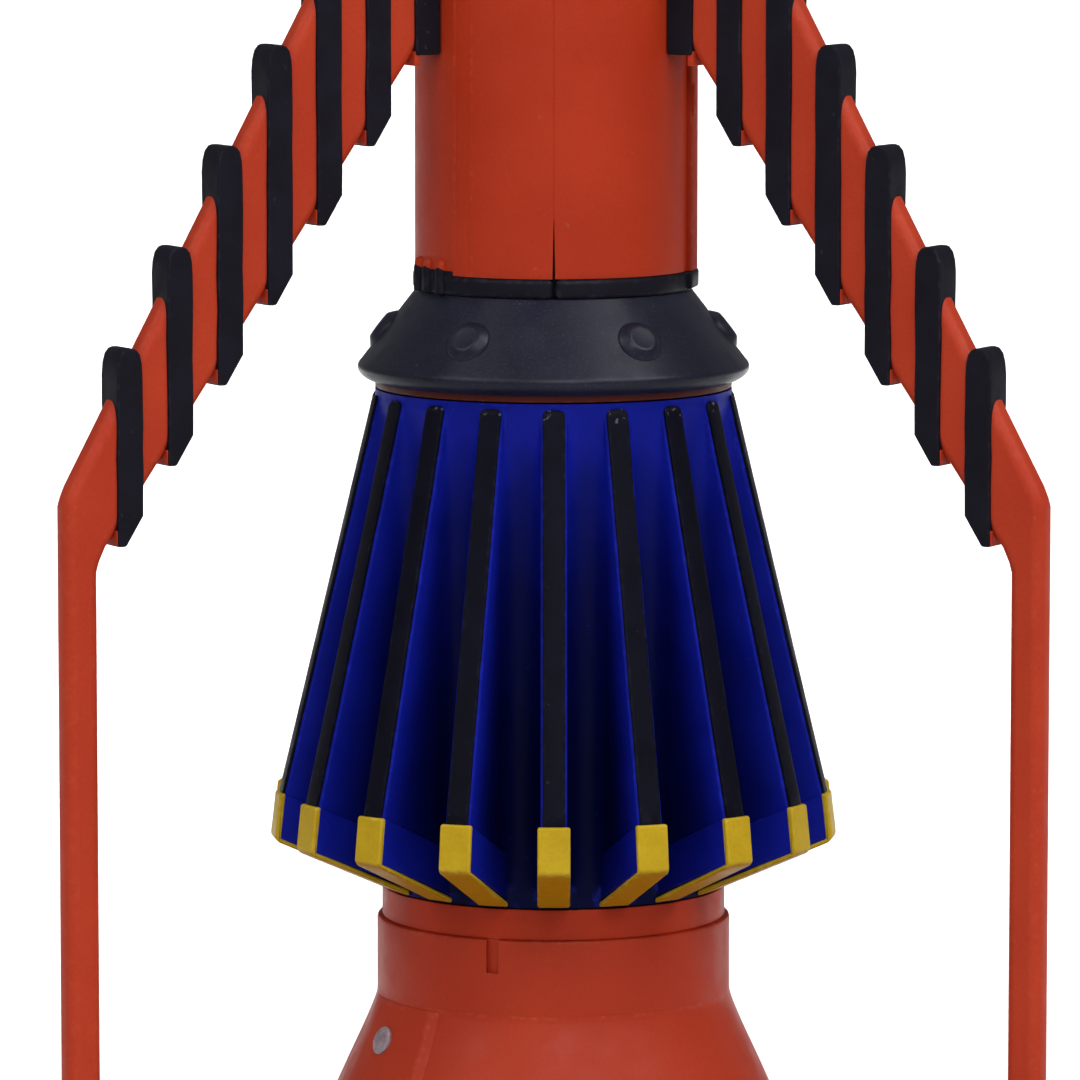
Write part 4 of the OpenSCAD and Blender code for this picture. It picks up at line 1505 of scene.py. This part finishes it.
@dataclass
class Nose(Assembly):
    """Nose cone with its ring, the fluted stem nut and the soft nozzle."""

    ring_inner: float = 9.1
    ring_r: float = 10.6
    cone_r: float = 10.35
    cone_top_r: float = 4.8
    groove_steps: tuple[int, int] = (9, 26)
    socket_top: float = 208.0
    stem_r: float = 2.4
    nut_flutes: int = 20
    mouth_r: float = 1.75
    bore_r: float = 1.1

    def build(self) -> None:
        """Builds the nose ring, the cone, the nut and the nozzle."""
        ring = Extent.of("nose_ring")
        hoop = turned(box_line(self.ring_inner, self.ring_r, ring.low, ring.top))
        round_edges(hoop, 0.4, 3)
        self.adopt(hoop, "nose_ring", BAND_PAINT, angle=40)
        self.build_cone()
        self.build_nut()
        self.build_nozzle()

    def build_cone(self) -> None:
        """Builds the ogive cone with two fine panel lines round it."""
        cone = Extent.of("nose_cone")
        base = Extent.of("nose_ring").top
        above, shoulder = (self.cone_r, base + 14), (self.cone_top_r + 2.2, cone.top - 8)
        line = curve((self.cone_r, base), above, shoulder, (self.cone_top_r, cone.top), 36)
        outer: list[Point] = []
        for index, (radius, height) in enumerate(line):
            if index in self.groove_steps:
                outer += [(radius, height - 0.14), (radius - 0.13, height - 0.06)]
                outer += [(radius - 0.13, height + 0.06), (radius - 0.02, height + 0.14)]
            else:
                outer.append((radius, height))
        roof = [(self.stem_r + 0.02, cone.top), (self.stem_r + 0.02, cone.top - 4), (4.6, cone.top - 4)]
        piece = turned([*outer, *roof, (9.0, base + 2), (9.0, base)])
        round_edges(piece, 0.05, 2, 50)
        self.adopt(piece, "nose_cone", BODY_PAINT, angle=35)

    def build_nut(self) -> None:
        """Builds the fluted nut from a drum whose every second face is drawn in."""
        nut = Extent.of("stem_nut")
        clear_selection()
        bpy.ops.mesh.primitive_cylinder_add(vertices=self.nut_flutes * 4, radius=nut.radius * MM, depth=MM)
        piece = bpy.context.object
        middle = (nut.low + nut.top) / 2
        for vertex in piece.data.vertices:
            co = vertex.co
            step = round(math.atan2(co.y, co.x) / (2 * math.pi) * self.nut_flutes * 4) % 4
            pull = (0.0, 0.12, 0.38, 0.12)[step]
            radius = (nut.radius - pull) * MM
            flat = co.xy.normalized() * radius
            co.x, co.y = flat.x, flat.y
            co.z = (middle + math.copysign((nut.top - nut.low) / 2, co.z)) * MM
        pick_faces(piece, lambda centre, normal: normal.z > 0.5)
        bpy.ops.mesh.inset(thickness=0.55 * MM, depth=0.12 * MM)
        bpy.ops.mesh.inset(thickness=0.6 * MM, depth=-0.25 * MM)
        close_edit()
        top = max(v.co.z for v in piece.data.vertices)
        for vertex in piece.data.vertices:
            if vertex.co.z > nut.top * MM:
                vertex.co.z += nut.top * MM - top
        round_edges(piece, 0.08, 2, 30)
        self.adopt(piece, "stem_nut", BAND_PAINT, angle=40)

    def build_nozzle(self) -> None:
        """Builds the soft nozzle: a flared root with grip rings, a long taper and a rounded mouth."""
        size = Extent.of("nozzle_tip")
        base_r = size.radius - 0.5
        start, above = (base_r, size.low + 10), (base_r, size.low + 20)
        taper = curve(start, above, (2.25, size.top - 16), (self.mouth_r, size.top - 1.3), 28)
        grip: list[Point] = []
        for i in range(4):
            z = size.low + 3.4 + i * 1.5
            grip += [(base_r, z), (base_r - 0.22, z + 0.25), (base_r - 0.22, z + 0.5), (base_r, z + 0.75)]
        mouth = [(1.85, size.top - 1.0), (1.85, size.top - 0.5), (1.72, size.top - 0.15), (1.5, size.top)]
        socket = self.stem_r + 0.03
        profile = [
            (socket, size.low), (size.radius, size.low), (size.radius, size.low + 1.4),
            (size.radius - 0.1, size.low + 1.7), (base_r, size.low + 2.4), *grip, *taper, *mouth,
            (self.bore_r + 0.12, size.top), (self.bore_r, size.top - 0.15), (self.bore_r, self.socket_top),
            (socket, self.socket_top),
        ]
        nozzle = turned(profile, steps=96)
        round_edges(nozzle, 0.09, 2, 35)
        self.adopt(nozzle, "nozzle_tip", BLACK_RUBBER, Body.NOZZLE, name="nozzle_shaped", angle=45)


@dataclass
class InnerParts:
    """CAD nodes that keep their shape: valves, spindle, screws, tubes and seals."""

    dress: dict[str, Finish] = field(
        default_factory=lambda: {
            "leg_screws": PLAIN_STEEL, "intake_disc": INNER_PLASTIC, "intake_retainer": PLAIN_STEEL,
            "neck_spindle": DARK_PLASTIC, "skirt_bush": DARK_PLASTIC, "valve_seat": INNER_PLASTIC,
            "outlet_disc": INNER_PLASTIC, "valve_guide": INNER_PLASTIC, "filter_disc": PRESSED_FELT,
            "air_tube": INNER_PLASTIC, "nozzle_stem": PLAIN_STEEL, "stem_seal": BLACK_RUBBER,
        }
    )

    def build(self) -> None:
        """Gives each kept node its finish."""
        for node, finish in self.dress.items():
            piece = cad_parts[node]
            piece.data.materials.clear()
            piece.data.materials.append(finish.material())
            LOG.info("%s keeps its shape, in %s", node, finish.name)


@dataclass
class Studio:
    """Pale floor, soft lights and the camera. Distances are in metres."""

    aim: tuple[float, float, float] = (-0.00101, 0.0, 0.09114)
    distance: float = 0.56025
    elevation: float = 6.8
    lens: float = 249.0
    floor_size: float = 14.0
    floor_tones: tuple[float, float] = (0.76, 0.73)
    boxes_away: float = 1.2
    boxes: dict[str, tuple[float, float, float, float]] = field(
        default_factory=lambda: {
            "right_box": (58, 46, 0.7, 6.9),
            "left_box": (-56, 40, 0.7, 3.8),
            "front_box": (6, 36, 0.5, 4.1),
        }
    )
    world: float = 0.18
    wash_y: float = 1.95
    wash_z: float = 0.9
    wash_size: tuple[float, float] = (1.2, 3.4)
    wash_spread: float = 45.0
    wash_power: float = 26.0

    def floor(self) -> None:
        """Lays a flat pale floor that reaches far behind the blower."""
        clear_selection()
        bpy.ops.mesh.primitive_plane_add(size=self.floor_size)
        floor = bpy.context.object
        floor.name = "floor"
        graph = Graph("floor_card")
        clouds = graph.spread(graph.noise(120.0, 2.0), 0.3, 0.7)
        pale, grey = (tuple([value] * 3) for value in self.floor_tones)
        graph.plug(graph.blend(clouds, pale, grey), graph.shader.inputs["Base Color"])
        graph.shader.inputs["Roughness"].default_value = 0.9
        graph.shader.inputs["Specular IOR Level"].default_value = 0.1
        floor.data.materials.append(graph.material)

    def softbox(self, name: str, azimuth: float, rise: float, size: float, power: float) -> None:
        """Hangs a square soft light that faces the blower.

        Args:
            name: Name of the light.
            azimuth: Azimuth of the light in degrees.
            rise: Angle above the floor in degrees.
            size: Side of the light.
            power: Power in watts.
        """
        turn, lift = math.radians(azimuth), math.radians(rise)
        way = Vector((math.sin(turn) * math.cos(lift), -math.cos(turn) * math.cos(lift), math.sin(lift)))
        clear_selection()
        bpy.ops.object.light_add(type="AREA", location=Vector(self.aim) + way * self.boxes_away)
        lamp = bpy.context.object
        lamp.name = name
        lamp.data.size = size
        lamp.data.energy = power
        lamp.rotation_euler = (-way).to_track_quat("-Z", "Y").to_euler()

    def floor_wash(self) -> None:
        """Hangs a long soft light over the floor behind the blower."""
        clear_selection()
        bpy.ops.object.light_add(type="AREA", location=(0, self.wash_y, self.wash_z))
        lamp = bpy.context.object
        lamp.name = "floor_wash"
        lamp.data.shape = "RECTANGLE"
        lamp.data.size, lamp.data.size_y = self.wash_size
        lamp.data.spread = math.radians(self.wash_spread)
        lamp.data.energy = self.wash_power

    def build(self) -> None:
        """Sets up world, floor, lights and camera."""
        world = bpy.data.worlds.new("studio")
        world.use_nodes = True
        world.node_tree.nodes["Background"].inputs["Strength"].default_value = self.world
        world.node_tree.nodes["Background"].inputs["Color"].default_value = (1, 1, 1, 1)
        bpy.context.scene.world = world
        bpy.context.scene.view_settings.view_transform = "Standard"
        self.floor()
        for name, (azimuth, rise, size, power) in self.boxes.items():
            self.softbox(name, azimuth, rise, size, power)
        self.floor_wash()
        lift = math.radians(self.elevation)
        back = Vector((0, -math.cos(lift), math.sin(lift)))
        clear_selection()
        bpy.ops.object.camera_add(location=Vector(self.aim) + back * self.distance)
        camera = bpy.context.object
        camera.rotation_euler = (-back).to_track_quat("-Z", "Y").to_euler()
        camera.data.lens = self.lens
        camera.data.sensor_width = 36.0
        bpy.context.scene.camera = camera


def main() -> None:
    """Builds the studio and every sub-assembly."""
    logging.basicConfig(level=logging.INFO, format="%(name)s: %(message)s")
    builders = (Studio(), Legs(), Bulb(), Neck(), Coupling(), Collar(), Tube(), Nose(), InnerParts())
    for builder in builders:
        builder.build()
        LOG.info("%s done", type(builder).__name__)


if __name__ == "__main__":
    main()
